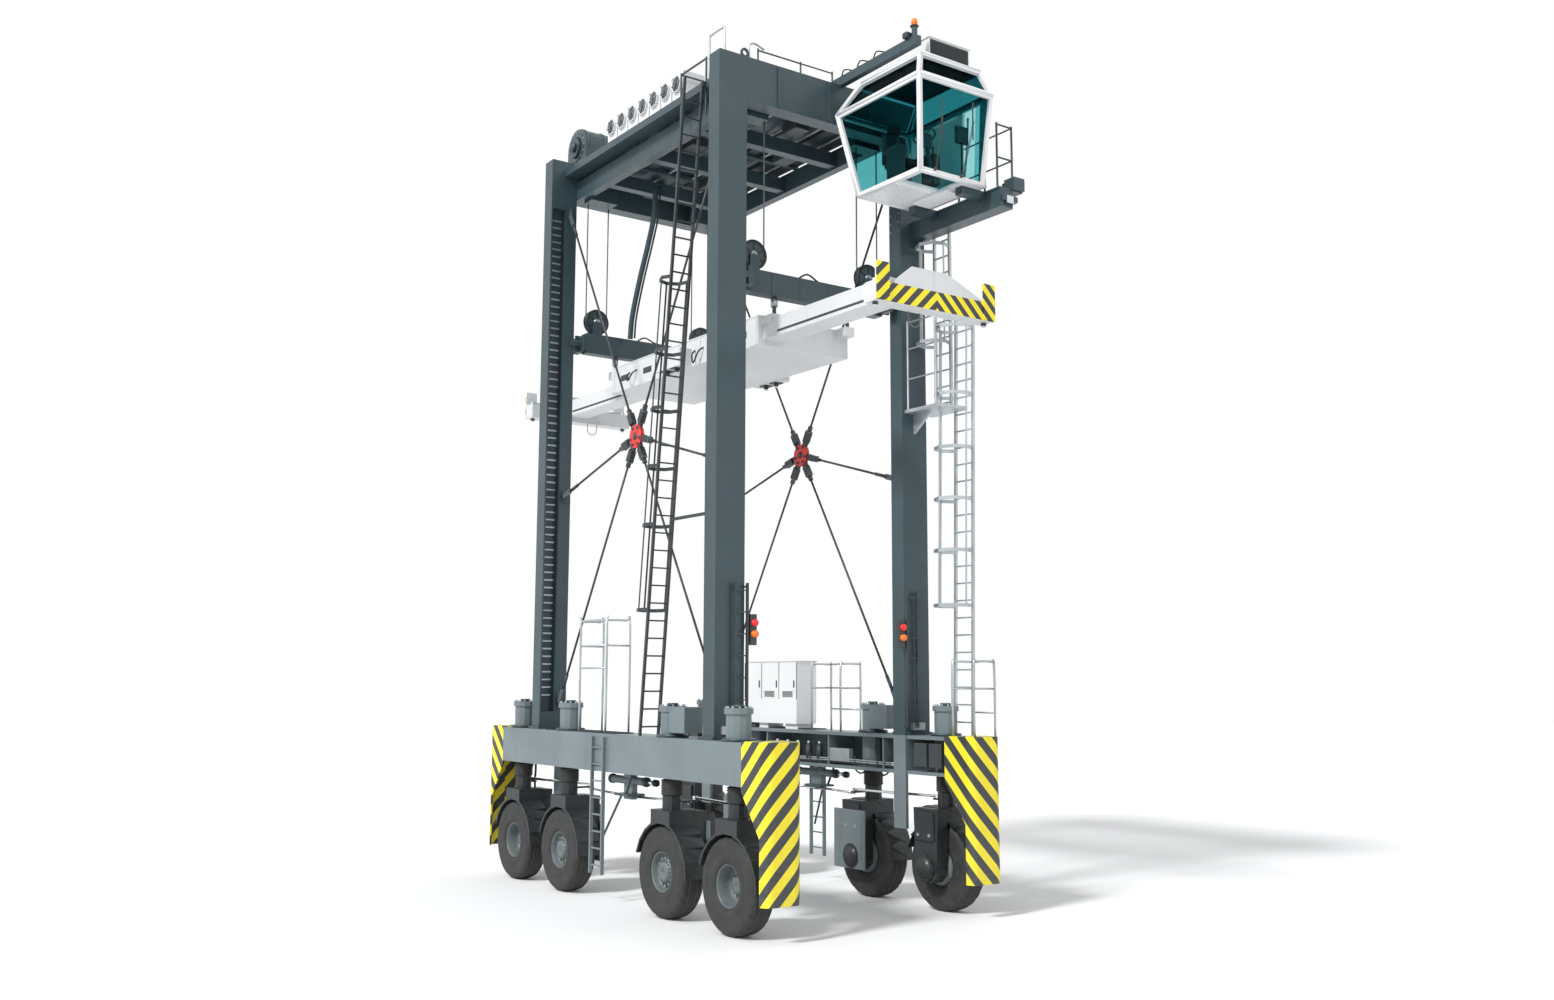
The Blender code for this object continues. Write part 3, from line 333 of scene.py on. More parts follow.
def paintNew(shape, verts, look, smooth=False):
    index = shape.slot(look)
    seen = set()
    for vert in verts:
        for face in vert.link_faces:
            if face not in seen:
                seen.add(face)
                face.material_index = index
                face.smooth = smooth


def block(shape, low, high, look, bevel=0.0):
    low, high = Vector(low), Vector(high)
    low, high = Vector(map(min, low, high)), Vector(map(max, low, high))
    place = Matrix.Translation((low + high) / 2) @ Matrix.Diagonal((*(high - low), 1.0))
    made = bmesh.ops.create_cube(shape.mesh, size=1.0, matrix=place)["verts"]
    if bevel:
        edges = list({edge for vert in made for edge in vert.link_edges})
        index = shape.slot(look)
        done = bmesh.ops.bevel(shape.mesh, geom=edges, offset=bevel, segments=2, affect="EDGES", profile=0.5)
        made = list({vert for face in done["faces"] for vert in face.verts})
        for vert in made:
            for face in vert.link_faces:
                face.material_index = index
        return
    paintNew(shape, made, look)


def bar(shape, start, end, wide, deep, look, side=(0, 0, 1)):
    start, end = Vector(start), Vector(end)
    along = (end - start).normalized()
    across = Vector(side) - along * along.dot(Vector(side))
    if across.length < 0.01:
        across = Vector((1, 0, 0)) - along * along.x
    across.normalize()
    turn = Matrix((across, along.cross(across), along)).transposed().to_4x4()
    size = Matrix.Diagonal((wide, deep, (end - start).length, 1.0))
    made = bmesh.ops.create_cube(shape.mesh, size=1.0, matrix=Matrix.Translation((start + end) / 2) @ turn @ size)
    paintNew(shape, made["verts"], look)


def tube(shape, start, end, radius, look, steps=16, endRadius=None):
    start, end = Vector(start), Vector(end)
    turn = (end - start).to_track_quat("Z", "Y").to_matrix().to_4x4()
    made = bmesh.ops.create_cone(
        shape.mesh, cap_ends=True, segments=steps, radius1=radius,
        radius2=radius if endRadius is None else endRadius,
        depth=(end - start).length, matrix=Matrix.Translation((start + end) / 2) @ turn,
    )
    paintNew(shape, made["verts"], look, steps > 8)


def pipe(shape, points, radius, look, steps=8, rounds=5):
    # a smooth run through the points, swept with a round section and closed at both ends
    points = [Vector(p) for p in points]
    path = []
    for i in range(len(points) - 1):
        a = points[max(i - 1, 0)]
        b, c = points[i], points[i + 1]
        d = points[min(i + 2, len(points) - 1)]
        for k in range(rounds):
            t = k / rounds
            path.append(0.5 * ((2 * b) + (c - a) * t + (2 * a - 5 * b + 4 * c - d) * t * t
                               + (3 * b - a - 3 * c + d) * t ** 3))
    path.append(points[-1])
    rings = []
    side = None
    for i, point in enumerate(path):
        along = (path[min(i + 1, len(path) - 1)] - path[max(i - 1, 0)]).normalized()
        if side is None:
            side = along.orthogonal().normalized()
        side = (side - along * side.dot(along)).normalized()
        other = along.cross(side)
        rings.append([
            shape.mesh.verts.new(point + radius * (side * math.cos(a) + other * math.sin(a)))
            for a in (2 * math.pi * k / steps for k in range(steps))
        ])
    faces = []
    for low, high in zip(rings, rings[1:]):
        for k in range(steps):
            n = (k + 1) % steps
            faces.append(shape.mesh.faces.new((low[k], low[n], high[n], high[k])))
    faces.append(shape.mesh.faces.new(rings[0][::-1]))
    faces.append(shape.mesh.faces.new(rings[-1]))
    index = shape.slot(look)
    for face in faces:
        face.material_index = index
        face.smooth = True


def lathe(shape, profile, place, look, steps=48, notch=None):
    # profile is a closed loop of (radius, along); the axis is local Z and place puts it in the machine
    rings = []
    for k in range(steps):
        turn = 2 * math.pi * k / steps
        ring = []
        for i, (radius, along) in enumerate(profile):
            r = radius - (notch(i, k) if notch else 0.0)
            ring.append(shape.mesh.verts.new(place @ Vector((r * math.cos(turn), r * math.sin(turn), along))))
        rings.append(ring)
    index = shape.slot(look)
    faces = []
    count = len(profile)
    for k in range(steps):
        here, there = rings[k], rings[(k + 1) % steps]
        for i in range(count):
            j = (i + 1) % count
            faces.append(shape.mesh.faces.new((here[i], here[j], there[j], there[i])))
    for face in faces:
        face.material_index = index
        face.smooth = True
    bmesh.ops.recalc_face_normals(shape.mesh, faces=faces)


def piece(name, shape, body, bevel=0.0, keepNormals=False):
    if not keepNormals:
        bmesh.ops.recalc_face_normals(shape.mesh, faces=shape.mesh.faces)
    mesh = bpy.data.meshes.new(name)
    shape.mesh.to_mesh(mesh)
    shape.mesh.free()
    made = bpy.data.objects.new(name, mesh)
    bpy.context.scene.collection.objects.link(made)
    for look in shape.looks:
        mesh.materials.append(looks[look])
    if bevel:
        soft = made.modifiers.new("softEdges", "BEVEL")
        soft.width = bevel
        soft.segments = 2
        soft.limit_method = "ANGLE"
    if body:
        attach(made, body)
    return made


# ---- repeats by Geometry Nodes: a row along a step, and a ring about local Z
def buildRepeat(kind):
    tree = bpy.data.node_groups.new(kind, "GeometryNodeTree")
    face = tree.interface
    face.new_socket("Geometry", in_out="INPUT", socket_type="NodeSocketGeometry")
    count = face.new_socket("Count", in_out="INPUT", socket_type="NodeSocketInt")
    step = face.new_socket("Step", in_out="INPUT", socket_type="NodeSocketVector")
    finish = face.new_socket("Finish", in_out="INPUT", socket_type="NodeSocketMaterial")
    face.new_socket("Geometry", in_out="OUTPUT", socket_type="NodeSocketGeometry")
    entry = tree.nodes.new("NodeGroupInput")
    leave = tree.nodes.new("NodeGroupOutput")
    line = tree.nodes.new("GeometryNodeMeshLine")
    link(tree, entry.outputs["Count"], line.inputs["Count"])
    place = tree.nodes.new("GeometryNodeInstanceOnPoints")
    link(tree, line.outputs["Mesh"], place.inputs["Points"])
    link(tree, entry.outputs["Geometry"], place.inputs["Instance"])
    if kind == "rowRepeat":
        link(tree, entry.outputs["Step"], line.inputs["Offset"])
    else:
        line.inputs["Offset"].default_value = (0, 0, 0)
        index = tree.nodes.new("GeometryNodeInputIndex").outputs[0]
        share = mathNode(tree, "DIVIDE", index, entry.outputs["Count"])
        turn = tree.nodes.new("ShaderNodeCombineXYZ")
        link(tree, mathNode(tree, "MULTIPLY", share, 2 * math.pi), turn.inputs["Z"])
        link(tree, turn.outputs[0], place.inputs["Rotation"])
    real = tree.nodes.new("GeometryNodeRealizeInstances")
    link(tree, place.outputs["Instances"], real.inputs["Geometry"])
    look = tree.nodes.new("GeometryNodeSetMaterial")
    link(tree, real.outputs["Geometry"], look.inputs["Geometry"])
    link(tree, entry.outputs["Finish"], look.inputs["Material"])
    link(tree, look.outputs["Geometry"], leave.inputs["Geometry"])
    return tree, count.identifier, step.identifier, finish.identifier


repeats = {kind: buildRepeat(kind) for kind in ("rowRepeat", "ringRepeat")}


def repeated(kind, unit, count, step, look):
    # bakes the repeat of a small unit shape to a plain mesh
    mesh = bpy.data.meshes.new("unit")
    bmesh.ops.recalc_face_normals(unit.mesh, faces=unit.mesh.faces)
    unit.mesh.to_mesh(mesh)
    unit.mesh.free()
    holder = bpy.data.objects.new("unit", mesh)
    bpy.context.scene.collection.objects.link(holder)
    tree, countId, stepId, finishId = repeats[kind]
    repeat = holder.modifiers.new("repeat", "NODES")
    repeat.node_group = tree
    repeat[countId] = count
    repeat[stepId] = step
    repeat[finishId] = looks[look]
    bpy.context.view_layer.update()
    baked = bpy.data.meshes.new_from_object(holder.evaluated_get(bpy.context.evaluated_depsgraph_get()))
    bpy.data.objects.remove(holder, do_unlink=True)
    return baked


def addBaked(shape, baked, places, look):
    index = shape.slot(look)
    for place in places:
        copy = baked.copy()
        copy.transform(place)
        start = len(shape.mesh.faces)
        shape.mesh.from_mesh(copy)
        shape.mesh.faces.ensure_lookup_table()
        for face in shape.mesh.faces[start:]:
            face.material_index = index
        bpy.data.meshes.remove(copy)


def wheelPlace(x, side, out=0.0):
    # local +Z points away from the machine along the axle
    lay = Matrix.Rotation(math.radians(-90 if side > 0 else 90), 4, "X")
    return Matrix.Translation((x, side * (trackHalf + out), hubHeight)) @ lay


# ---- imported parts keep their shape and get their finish
for name, node in nodes.items():
    if name.startswith(("tyre", "rim")):
        continue
    look = "structure"
    if name.startswith("fork"):
        look = "fork"
    elif name.startswith("bumper"):
        look = "bumper"
    elif name.startswith("star"):
        look = "star"
    elif name.startswith("side_beam"):
        # the side beams take the lighter copy of the grey-blue paint, which is painted light
        look = "beam"
    elif name.startswith("tie_rod"):
        look = "chrome"
    elif name in ("caged_ladder_left",):
        look = "zinc"
    elif name == "caged_ladder_right":
        look = "darkSteel"
    elif name in ("cab_shell", "cab_door", "cooler_row", "control_cabinet"):
        look = "white"
    elif name == "cab_glass":
        look = "glass"
    elif name == "spreader_frame":
        look = "light"
    elif name.startswith("spreader"):
        look = "spreaderEnd"
    node.data.materials.clear()
    node.data.materials.append(looks[look])
print("packed parts finished")


# ---- tyres and rims
tyre = {"steps": 120, "blockEvery": 5, "grooveDepth": 0.014, "slotDepth": 0.016}
tyreProfile = [
    (0.3306, -0.172), (0.345, -0.196), (0.40, -0.206), (0.46, -0.2125), (0.47, -0.2075), (0.53, -0.2145),
    (0.60, -0.2145), (0.66, -0.210), (0.70, -0.197), (0.722, -0.176), (0.736, -0.150), (0.7440, -0.115),
    (0.7300, -0.108), (0.7300, -0.096), (0.7455, -0.090), (0.7470, -0.040), (0.7330, -0.034), (0.7330, -0.022),
    (0.7475, -0.016), (0.7475, 0.016), (0.7330, 0.022), (0.7330, 0.034), (0.7470, 0.040), (0.7455, 0.090),
    (0.7300, 0.096), (0.7300, 0.108), (0.7440, 0.115), (0.736, 0.150), (0.722, 0.176), (0.70, 0.197),
    (0.66, 0.210), (0.60, 0.2145), (0.53, 0.2145), (0.47, 0.2075), (0.46, 0.2125), (0.40, 0.206),
    (0.345, 0.196), (0.3306, 0.172),
]


def treadNotch(i, k):
    shoulder = i in (9, 10, 11, 26, 27, 28)
    return tyre["slotDepth"] if shoulder and k % tyre["blockEvery"] == 0 else 0.0


def rimProfile(driven):
    hub = 0.158 if driven else 0.038
    inside = [(0.0005, -0.2445), (0.158, -0.2445), (0.238, -0.2244), (0.3294, -0.1798), (0.3294, -0.150)]
    seat = [(0.312, -0.140), (0.312, 0.130), (0.3294, 0.150), (0.3294, 0.1795), (0.318, 0.1795), (0.306, 0.160)]
    if driven:
        dish = [(0.292, 0.10), (0.276, 0.07), (0.246, 0.062), (0.240, 0.080), (0.205, 0.086), (0.198, 0.120),
                (0.166, 0.126), (0.160, 0.150), (0.120, hub), (0.0005, hub)]
    else:
        dish = [(0.292, 0.06), (0.272, 0.000), (0.262, -0.045), (0.225, -0.055), (0.205, -0.050), (0.150, -0.046),
                (0.138, -0.030), (0.132, 0.020), (0.118, 0.034), (0.060, hub), (0.0005, hub)]
    return inside + seat + dish


for sideName, side in sides.items():
    for axleName, x in axles.items():
        label = axleName + "_" + sideName
        driven = "inner" in axleName
        place = wheelPlace(x, side)
        shape = Shape()
        lathe(shape, tyreProfile, place, "tyre", tyre["steps"], treadNotch)
        made = piece("tyre_" + label + "_look", shape, "wheel_" + label)
        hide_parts("tyre_" + label)
        shape = Shape()
        lathe(shape, rimProfile(driven), place, "rim", 64)
        unit = Shape()
        radius = 0.222 if driven else 0.182
        face = 0.082 if driven else -0.050
        tube(unit, (radius, 0, face - 0.01), (radius, 0, face + 0.03), 0.017, "zinc", 6)
        addBaked(shape, repeated("ringRepeat", unit, 12, (0, 0, 0), "zinc"), [place], "zinc")
        if driven:
            unit = Shape()
            tube(unit, (0.178, 0, 0.118), (0.178, 0, 0.140), 0.010, "darkSteel", 6)
            addBaked(shape, repeated("ringRepeat", unit, 16, (0, 0, 0), "darkSteel"), [place], "darkSteel")
        made = piece("rim_" + label + "_look", shape, "wheel_" + label)
        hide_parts("rim_" + label)
print("wheels ready")


# ---- forks: ribbed boots, steering stops, hoses and motor covers
boot = {"low": 1.975, "high": 2.235, "radius": 0.185, "ribs": 6}
for sideName, side in sides.items():
    for axleName, x in axles.items():
        label = axleName + "_" + sideName
        profile = [(0.131, boot["low"])]
        for i in range(boot["ribs"]):
            z = boot["low"] + (boot["high"] - boot["low"]) * (i + 0.5) / boot["ribs"]
            profile += [(boot["radius"] - 0.022, z - 0.018), (boot["radius"], z)]
        profile += [(boot["radius"] - 0.022, boot["high"] - 0.004), (0.131, boot["high"])]
        shape = Shape()
        lathe(shape, profile, Matrix.Translation((x, side * trackHalf, 0)), "boot", 32)
        made = piece("boot_" + label, shape, "fork_" + label)
        shape = Shape()
        end = 1 if x > 0 else -1
        block(shape, (x - 0.22, side * 1.62, 1.18), (x + 0.22, side * 1.665, 1.66), "fork", 0.02)
        tube(shape, (x, side * 1.585, hubHeight), (x, side * 1.62, hubHeight), 0.18, "fork", 24)
        for dx in (-0.14, 0.14):
            tube(shape, (x + dx, side * 1.60, 1.28), (x + dx, side * 1.63, 1.28), 0.03, "zinc", 6)
        low, high = (x - 0.50, 0.52), (x + 0.50, 1.56)
        if "inner" in axleName:
            # the motor covers take the lighter copy of the grey-blue paint, which is painted light
            block(shape, (low[0], side * 1.612, low[1]), (high[0] - 0.12, side * 1.655, high[1]), "beam", 0.018)
            block(shape, (low[0] + 0.08, side * 1.604, 0.70), (high[0] - 0.2, side * 1.615, 1.35), "beam", 0.004)
        piece("motor_cover_" + label, shape, "fork_" + label)
        if "inner" in axleName:
            continue  # the tie rod sweeps this place as the inner forks turn
        for i, out in enumerate((0.17, 0.21)):
            shape = Shape()
            pipe(shape, [(x + end * out, side * 1.80, 2.36), (x + end * (out + 0.03), side * 1.78, 2.05),
                         (x + end * (out + 0.09), side * 1.765, 1.86), (x + end * (out + 0.05), side * 1.775, 1.70),
                         (x + end * (out + 0.01), side * 1.80, 1.64)], 0.014, "hose", 8, 5)
            made = piece("fork_hose_" + str(i + 1) + "_" + label, shape, None)
            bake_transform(made)
print("forks dressed")


# ---- side beams: bolts on the king-pin pots, racks, hydraulics, rails
potTop = 3.43
unit = Shape()
tube(unit, (0.195, 0, 0.0), (0.195, 0, 0.028), 0.014, "zinc", 6)
potBolts = repeated("ringRepeat", unit, 12, (0, 0, 0), "zinc")
unit = Shape()
block(unit, (-0.008, -0.20, 0), (0.008, 0.20, 0.02), "darkSteel")
tread = repeated("rowRepeat", unit, 24, (0.06, 0, 0), "darkSteel")
for sideName, side in sides.items():
    shape = Shape()
    addBaked(shape, potBolts, [Matrix.Translation((x, side * trackHalf, potTop)) for x in axles.values()], "zinc")
    for x in axles.values():
        tube(shape, (x, side * trackHalf, potTop), (x, side * trackHalf, potTop + 0.05), 0.09, "structure", 24)
        tube(shape, (x, side * trackHalf, 2.925), (x, side * trackHalf, 2.965), 0.27, "structure", 32)
    addBaked(shape, tread, [Matrix.Translation((x, side * 2.14, 2.921)) for x in (-1.2, -2.9 + 0.4)], "darkSteel")
    piece("pot_details_" + sideName, shape, "chassis")

    shape = Shape()
    for low, high in ((3.50, 3.82), (3.88, 4.20), (-4.20, -3.88), (-3.82, -3.50)):
        block(shape, (low, side * 1.70, 2.40), (high, side * 1.76, 2.80), "darkSteel", 0.008)
    for i in range(6):
        x = -1.05 + i * 0.34
        tube(shape, (x, side * 1.82, 2.40), (x, side * 1.82, 2.66), 0.06, "darkSteel", 16)
        tube(shape, (x, side * 1.82, 2.66), (x, side * 1.82, 2.72), 0.035, "zinc", 12)
    block(shape, (0.98, side * 1.77, 2.38), (1.60, side * 1.88, 2.62), "zinc", 0.01)
    for i, z in enumerate((2.35, 2.385, 2.42)):
        pipe(shape, [(-2.9, side * 1.79, z), (-1.4, side * 1.785, z + 0.01), (0.2, side * 1.79, z),
                     (1.4, side * 1.785, z + 0.01), (2.9, side * 1.79, z)], 0.013, "zinc" if i else "hose", 8, 6)
    for x in (-2.3, -1.3, 0.4, 1.75, 2.4):
        pipe(shape, [(x, side * 1.80, 2.50), (x + 0.05, side * 1.76, 2.28), (x + 0.20, side * 1.765, 2.20),
                     (x + 0.34, side * 1.77, 2.27), (x + 0.38, side * 1.80, 2.45)], 0.016, "hose", 8, 5)
    piece("beam_hydraulics_" + sideName, shape, "chassis")

    # steering: cylinder rod, idler plate and the V struts below the beam
    shape = Shape()
    tube(shape, (0.84, side * 2.05, 2.12), (1.12, side * 2.05, 2.12), 0.035, "chrome", 16)
    tube(shape, (1.12, side * 2.05, 2.12), (1.20, side * 2.05, 2.12), 0.06, "fork", 16)
    tube(shape, (-0.37, side * 2.05, 2.12), (-0.31, side * 2.05, 2.12), 0.085, "structure", 20)
    tube(shape, (0.82, side * 2.05, 2.12), (0.87, side * 2.05, 2.12), 0.085, "structure", 20)
    block(shape, (0.05, side * 1.90, 1.86), (0.55, side * 2.24, 1.90), "structure", 0.008)
    tube(shape, (0.30, side * 2.05, 1.84), (0.30, side * 2.05, 1.94), 0.05, "zinc", 16)
    bar(shape, (0.26, side * 2.20, 1.88), (-0.19, side * 2.33, 1.10), 0.03, 0.03, "structure")
    bar(shape, (0.40, side * 2.20, 1.88), (0.62, side * 2.20, 2.27), 0.03, 0.03, "structure")
    piece("steering_idler_" + sideName, shape, "chassis")
    for end in (1, -1):
        shape = Shape()
        tube(shape, (end * 1.80, side * 1.74, 1.840), (0.30 + end * 0.03, side * 2.0, 1.840), 0.022, "chrome", 16)
        made = piece("centre_rod_" + ("front_" if end > 0 else "rear_") + sideName, shape, None)
        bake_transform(made)

    # guard rails on top of the beam
    rails = {"right": ((-1.15, -0.15), (3.6, 4.15)), "left": ((0.35, 1.25), (4.33, 4.85))}[sideName]
    shape = Shape()
    for i, (start, finish) in enumerate(rails):
        base = 2.92 if i == 0 else 2.93
        top = base + (1.25 if sideName == "left" or i else 2.0)
        y = side * 2.33
        back = side * 1.86
        loop = [(start, y, base), (start, y, top - 0.08), (start + 0.08, y, top), (finish - 0.08, y, top),
                (finish, y, top - 0.08), (finish, y, base)]
        if i and sideName == "right":
            continue
        pipe(shape, loop, 0.02, "zinc", 8, 4)
        pipe(shape, [(start, y, top - 0.45), (finish, y, top - 0.45)], 0.016, "zinc", 8, 1)
        pipe(shape, [(start, y, top - 0.85), (finish, y, top - 0.85)], 0.016, "zinc", 8, 1)
        for x in (start, finish):
            pipe(shape, [(x, back, base), (x, back, top - 0.08), (x, back + side * 0.08, top), (x, y, top)], 0.02,
                 "zinc", 8, 4)
            pipe(shape, [(x, back, top - 0.45), (x, y, top - 0.45)], 0.016, "zinc", 8, 1)
    piece("beam_rails_" + sideName, shape, "chassis")
print("side beams dressed")


# ---- legs: rack rungs in the guide channels, bolt rows, marker lights
unit = Shape()
block(unit, (-0.012, -0.11, 0), (0.012, 0.11, 0.03), "zinc")
rack = repeated("rowRepeat", unit, 66, (0, 0, 0.15), "zinc")
unit = Shape()
tube(unit, (0, 0, 0), (0, 0.014, 0), 0.016, "zinc", 6)
boltRow = repeated("rowRepeat", unit, 9, (0, 0, 0.16), "zinc")
for sideName, side in sides.items():
    shape = Shape()
    for end in (1, -1):
        addBaked(shape, rack, [Matrix.Translation((end * 3.105, side * 2.075, 3.4))], "zinc")
        for y in (1.95, 2.20):
            block(shape, (end * 3.085, side * (y - 0.012), 3.27), (end * 3.12, side * (y + 0.012), 13.36), "darkSteel")
        turn = Matrix.Rotation(0 if side < 0 else math.pi, 4, "Z")
        for x in (3.02, 3.24):
            addBaked(shape, boltRow, [Matrix.Translation((end * x, side * 1.690, 12.0)) @ turn], "zinc")
        block(shape, (end * 2.99, side * 1.71, 14.41), (end * 3.27, side * 2.235, 14.425), "structure")
        block(shape, (end * 3.289, side * 1.83, 3.0), (end * 3.32, side * 2.13, 3.14), "structure", 0.006)
    piece("leg_details_" + sideName, shape, "chassis")
    shape = Shape()
    y = side * 1.80
    for z in (3.20, 3.55, 3.90, 4.25, 4.60, 4.95, 5.30):
        bar(shape, (3.36, y - 0.12, z), (3.36, y + 0.12, z), 0.022, 0.022, "darkSteel")
    for dy in (-0.12, 0.12):
        bar(shape, (3.36, y + dy, 3.05), (3.36, y + dy, 5.42), 0.03, 0.05, "darkSteel", (0, 1, 0))
        for z in (3.1, 5.36):
            bar(shape, (3.285, y + dy, z), (3.36, y + dy, z), 0.03, 0.04, "darkSteel")
    block(shape, (3.29, y - 0.17 * side, 4.42), (3.38, y - 0.30 * side, 4.92), "darkSteel", 0.01)
    tube(shape, (3.38, y - 0.235 * side, 4.78), (3.44, y - 0.235 * side, 4.78), 0.055, "redLens", 20)
    tube(shape, (3.38, y - 0.235 * side, 4.60), (3.45, y - 0.235 * side, 4.60), 0.055, "orangeLens", 20)
    piece("marker_lights_" + sideName, shape, "chassis")
print("legs dressed")


# ---- cab: seat, console, wheel, wipers, seals, cooler grille
cab = {"seatX": 4.25, "seatY": 0.95, "floor": 12.27, "wheelX": 4.86}
shape = Shape()
sx, sy, sz = cab["seatX"], cab["seatY"], cab["floor"]
block(shape, (sx - 0.24, sy - 0.25, sz + 0.42), (sx + 0.26, sy + 0.25, sz + 0.54), "cloth", 0.045)
block(shape, (sx - 0.32, sy - 0.24, sz + 0.52), (sx - 0.19, sy + 0.24, sz + 1.10), "cloth", 0.045)
block(shape, (sx - 0.30, sy - 0.14, sz + 1.12), (sx - 0.21, sy + 0.14, sz + 1.30), "cloth", 0.035)
for dy in (-0.33, 0.33):
    block(shape, (sx - 0.12, sy + dy - 0.05, sz + 0.60), (sx + 0.26, sy + dy + 0.05, sz + 0.67), "plastic", 0.02)
    block(shape, (sx + 0.10, sy + dy * 1.2 - 0.08, sz + 0.10), (sx + 0.44, sy + dy * 1.2 + 0.08, sz + 0.66), "plastic", 0.03)
    tube(shape, (sx + 0.32, sy + dy * 1.2, sz + 0.66), (sx + 0.34, sy + dy * 1.2, sz + 0.82), 0.018, "plastic", 12)
tube(shape, (sx, sy, sz + 0.0), (sx, sy, sz + 0.10), 0.22, "plastic", 24)
tube(shape, (sx, sy, sz + 0.10), (sx, sy, sz + 0.43), 0.09, "darkSteel", 20)
piece("cab_seat", shape, "chassis")

shape = Shape()
wx = cab["wheelX"]
tube(shape, (wx + 0.14, sy, sz + 0.0), (wx - 0.02, sy, sz + 0.78), 0.035, "plastic", 16)
tilt = Matrix.Translation((wx - 0.05, sy, sz + 0.84)) @ Matrix.Rotation(math.radians(-25), 4, "Y")
ringProfile = [(0.19 + 0.014 * math.cos(a), 0.014 * math.sin(a)) for a in (math.pi * k / 4 for k in range(8))]
lathe(shape, ringProfile, tilt, "plastic", 40)
for k in range(3):
    a = 2 * math.pi * k / 3
    tube(shape, tilt @ Vector((0, 0, 0)), tilt @ Vector((0.19 * math.cos(a), 0.19 * math.sin(a), 0)), 0.010,
         "plastic", 8)
block(shape, (5.18, 1.30, 12.95), (5.26, 1.56, 13.25), "plastic", 0.015)
block(shape, (5.18, 0.50, 12.70), (5.24, 0.74, 12.95), "plastic", 0.015)
tube(shape, (5.22, 1.43, 12.30), (5.22, 1.43, 12.97), 0.02, "plastic", 12)
pipe(shape, [(5.06, 1.62, 12.35), (5.10, 1.66, 12.9), (5.12, 1.68, 13.5)], 0.018, "zinc", 10, 4)
piece("cab_controls", shape, "chassis")

# the cab's corners, as its three rings: floor, waist, roof
cabRings = [
    [(5.40, 0.33, 12.20), (5.40, 1.78, 12.20), (3.76, 1.78, 12.20), (3.76, 0.33, 12.20)],
    [(5.57, 0.18, 13.79), (5.57, 1.85, 13.79), (3.34, 1.85, 13.79), (3.34, 0.18, 13.79)],
    [(5.42, 0.34, 14.25), (5.42, 1.70, 14.25), (3.84, 1.70, 14.25), (3.84, 0.34, 14.25)],
]


def frontPoint(across, up):
    # a point on the front pane: across from the right post to the left one, up from the floor to the waist
    low = Vector(cabRings[0][0]).lerp(Vector(cabRings[0][1]), across)
    high = Vector(cabRings[1][0]).lerp(Vector(cabRings[1][1]), across)
    return low.lerp(high, up) + Vector((0.012, 0, 0))


shape = Shape()
for foot, tip, blade in ((0.22, (0.30, 0.62), 0.30), (0.62, (0.74, 0.66), 0.32)):
    start = frontPoint(foot, 0.045)
    end = frontPoint(*tip)
    tube(shape, start - Vector((0.02, 0, 0)), start + Vector((0.03, 0, 0)), 0.028, "plastic", 16)
    for dy in (-0.012, 0.012):
        pipe(shape, [start + Vector((0.02, dy, 0)), start.lerp(end, 0.5) + Vector((0.035, dy, 0)),
                     end + Vector((0.02, dy, 0))], 0.006, "plastic", 8, 4)
    along = (frontPoint(tip[0] - 0.02, tip[1] + 0.2) - frontPoint(tip[0] + 0.02, tip[1] - 0.2)).normalized()
    bar(shape, end - along * blade, end + along * blade, 0.012, 0.022, "plastic", (1, 0, 0))
piece("cab_wipers", shape, "chassis")

# seals round the panes and the posts' outer caps
shape = Shape()
for ring in cabRings:
    for k in (0, 2, 3):  # the left side stays clear for the sliding door
        a, b = Vector(ring[k]), Vector(ring[(k + 1) % 4])
        tube(shape, a, b, 0.022, "white", 12)
for low, high in zip(cabRings, cabRings[1:]):
    for k in (0, 3):
        tube(shape, low[k], high[k], 0.024, "white", 12)
piece("cab_posts", shape, "chassis")
shape = Shape()
block(shape, (3.90, 0.40, 12.175), (4.70, 1.20, 12.203), "white", 0.008)
block(shape, (4.15, 1.25, 12.13), (5.00, 1.62, 12.203), "white", 0.02)
for x in (4.0, 4.35, 4.65):
    for y in (0.45, 1.15):
        tube(shape, (x, y, 12.165), (x, y, 12.178), 0.012, "zinc", 6)
piece("cab_belly", shape, "chassis")

shape = Shape()
unit = Shape()
block(unit, (0, -0.43, 0), (0.016, 0.43, 0.010), "darkSteel")
addBaked(shape, repeated("rowRepeat", unit, 11, (0, 0, 0.024), "darkSteel"),
         [Matrix.Translation((5.218, 1.175, 14.385))], "darkSteel")
block(shape, (5.215, 0.74, 14.37), (5.222, 1.61, 14.66), "plastic")
block(shape, (4.70, 0.70, 14.675), (5.24, 1.65, 14.70), "light", 0.008)
for y in (0.80, 1.18, 1.55):
    tube(shape, (4.97, y, 14.70), (4.97, y, 14.712), 0.03, "zinc", 12)
piece("cab_cooler_details", shape, "chassis")

# door seal, handle and rail
shape = Shape()
bar(shape, (3.90, 1.862, 13.76), (5.50, 1.862, 13.76), 0.03, 0.045, "zinc", (0, 1, 0))
bar(shape, (3.90, 1.80, 12.215), (5.42, 1.80, 12.215), 0.02, 0.03, "zinc", (0, 1, 0))
piece("door_rails", shape, "chassis")
shape = Shape()
pipe(shape, [(4.63, 1.87, 12.75), (4.63, 1.905, 12.80), (4.63, 1.912, 13.05), (4.63, 1.905, 13.30),
             (4.63, 1.885, 13.35)], 0.012, "zinc", 8, 4)
piece("door_pull", shape, "door")

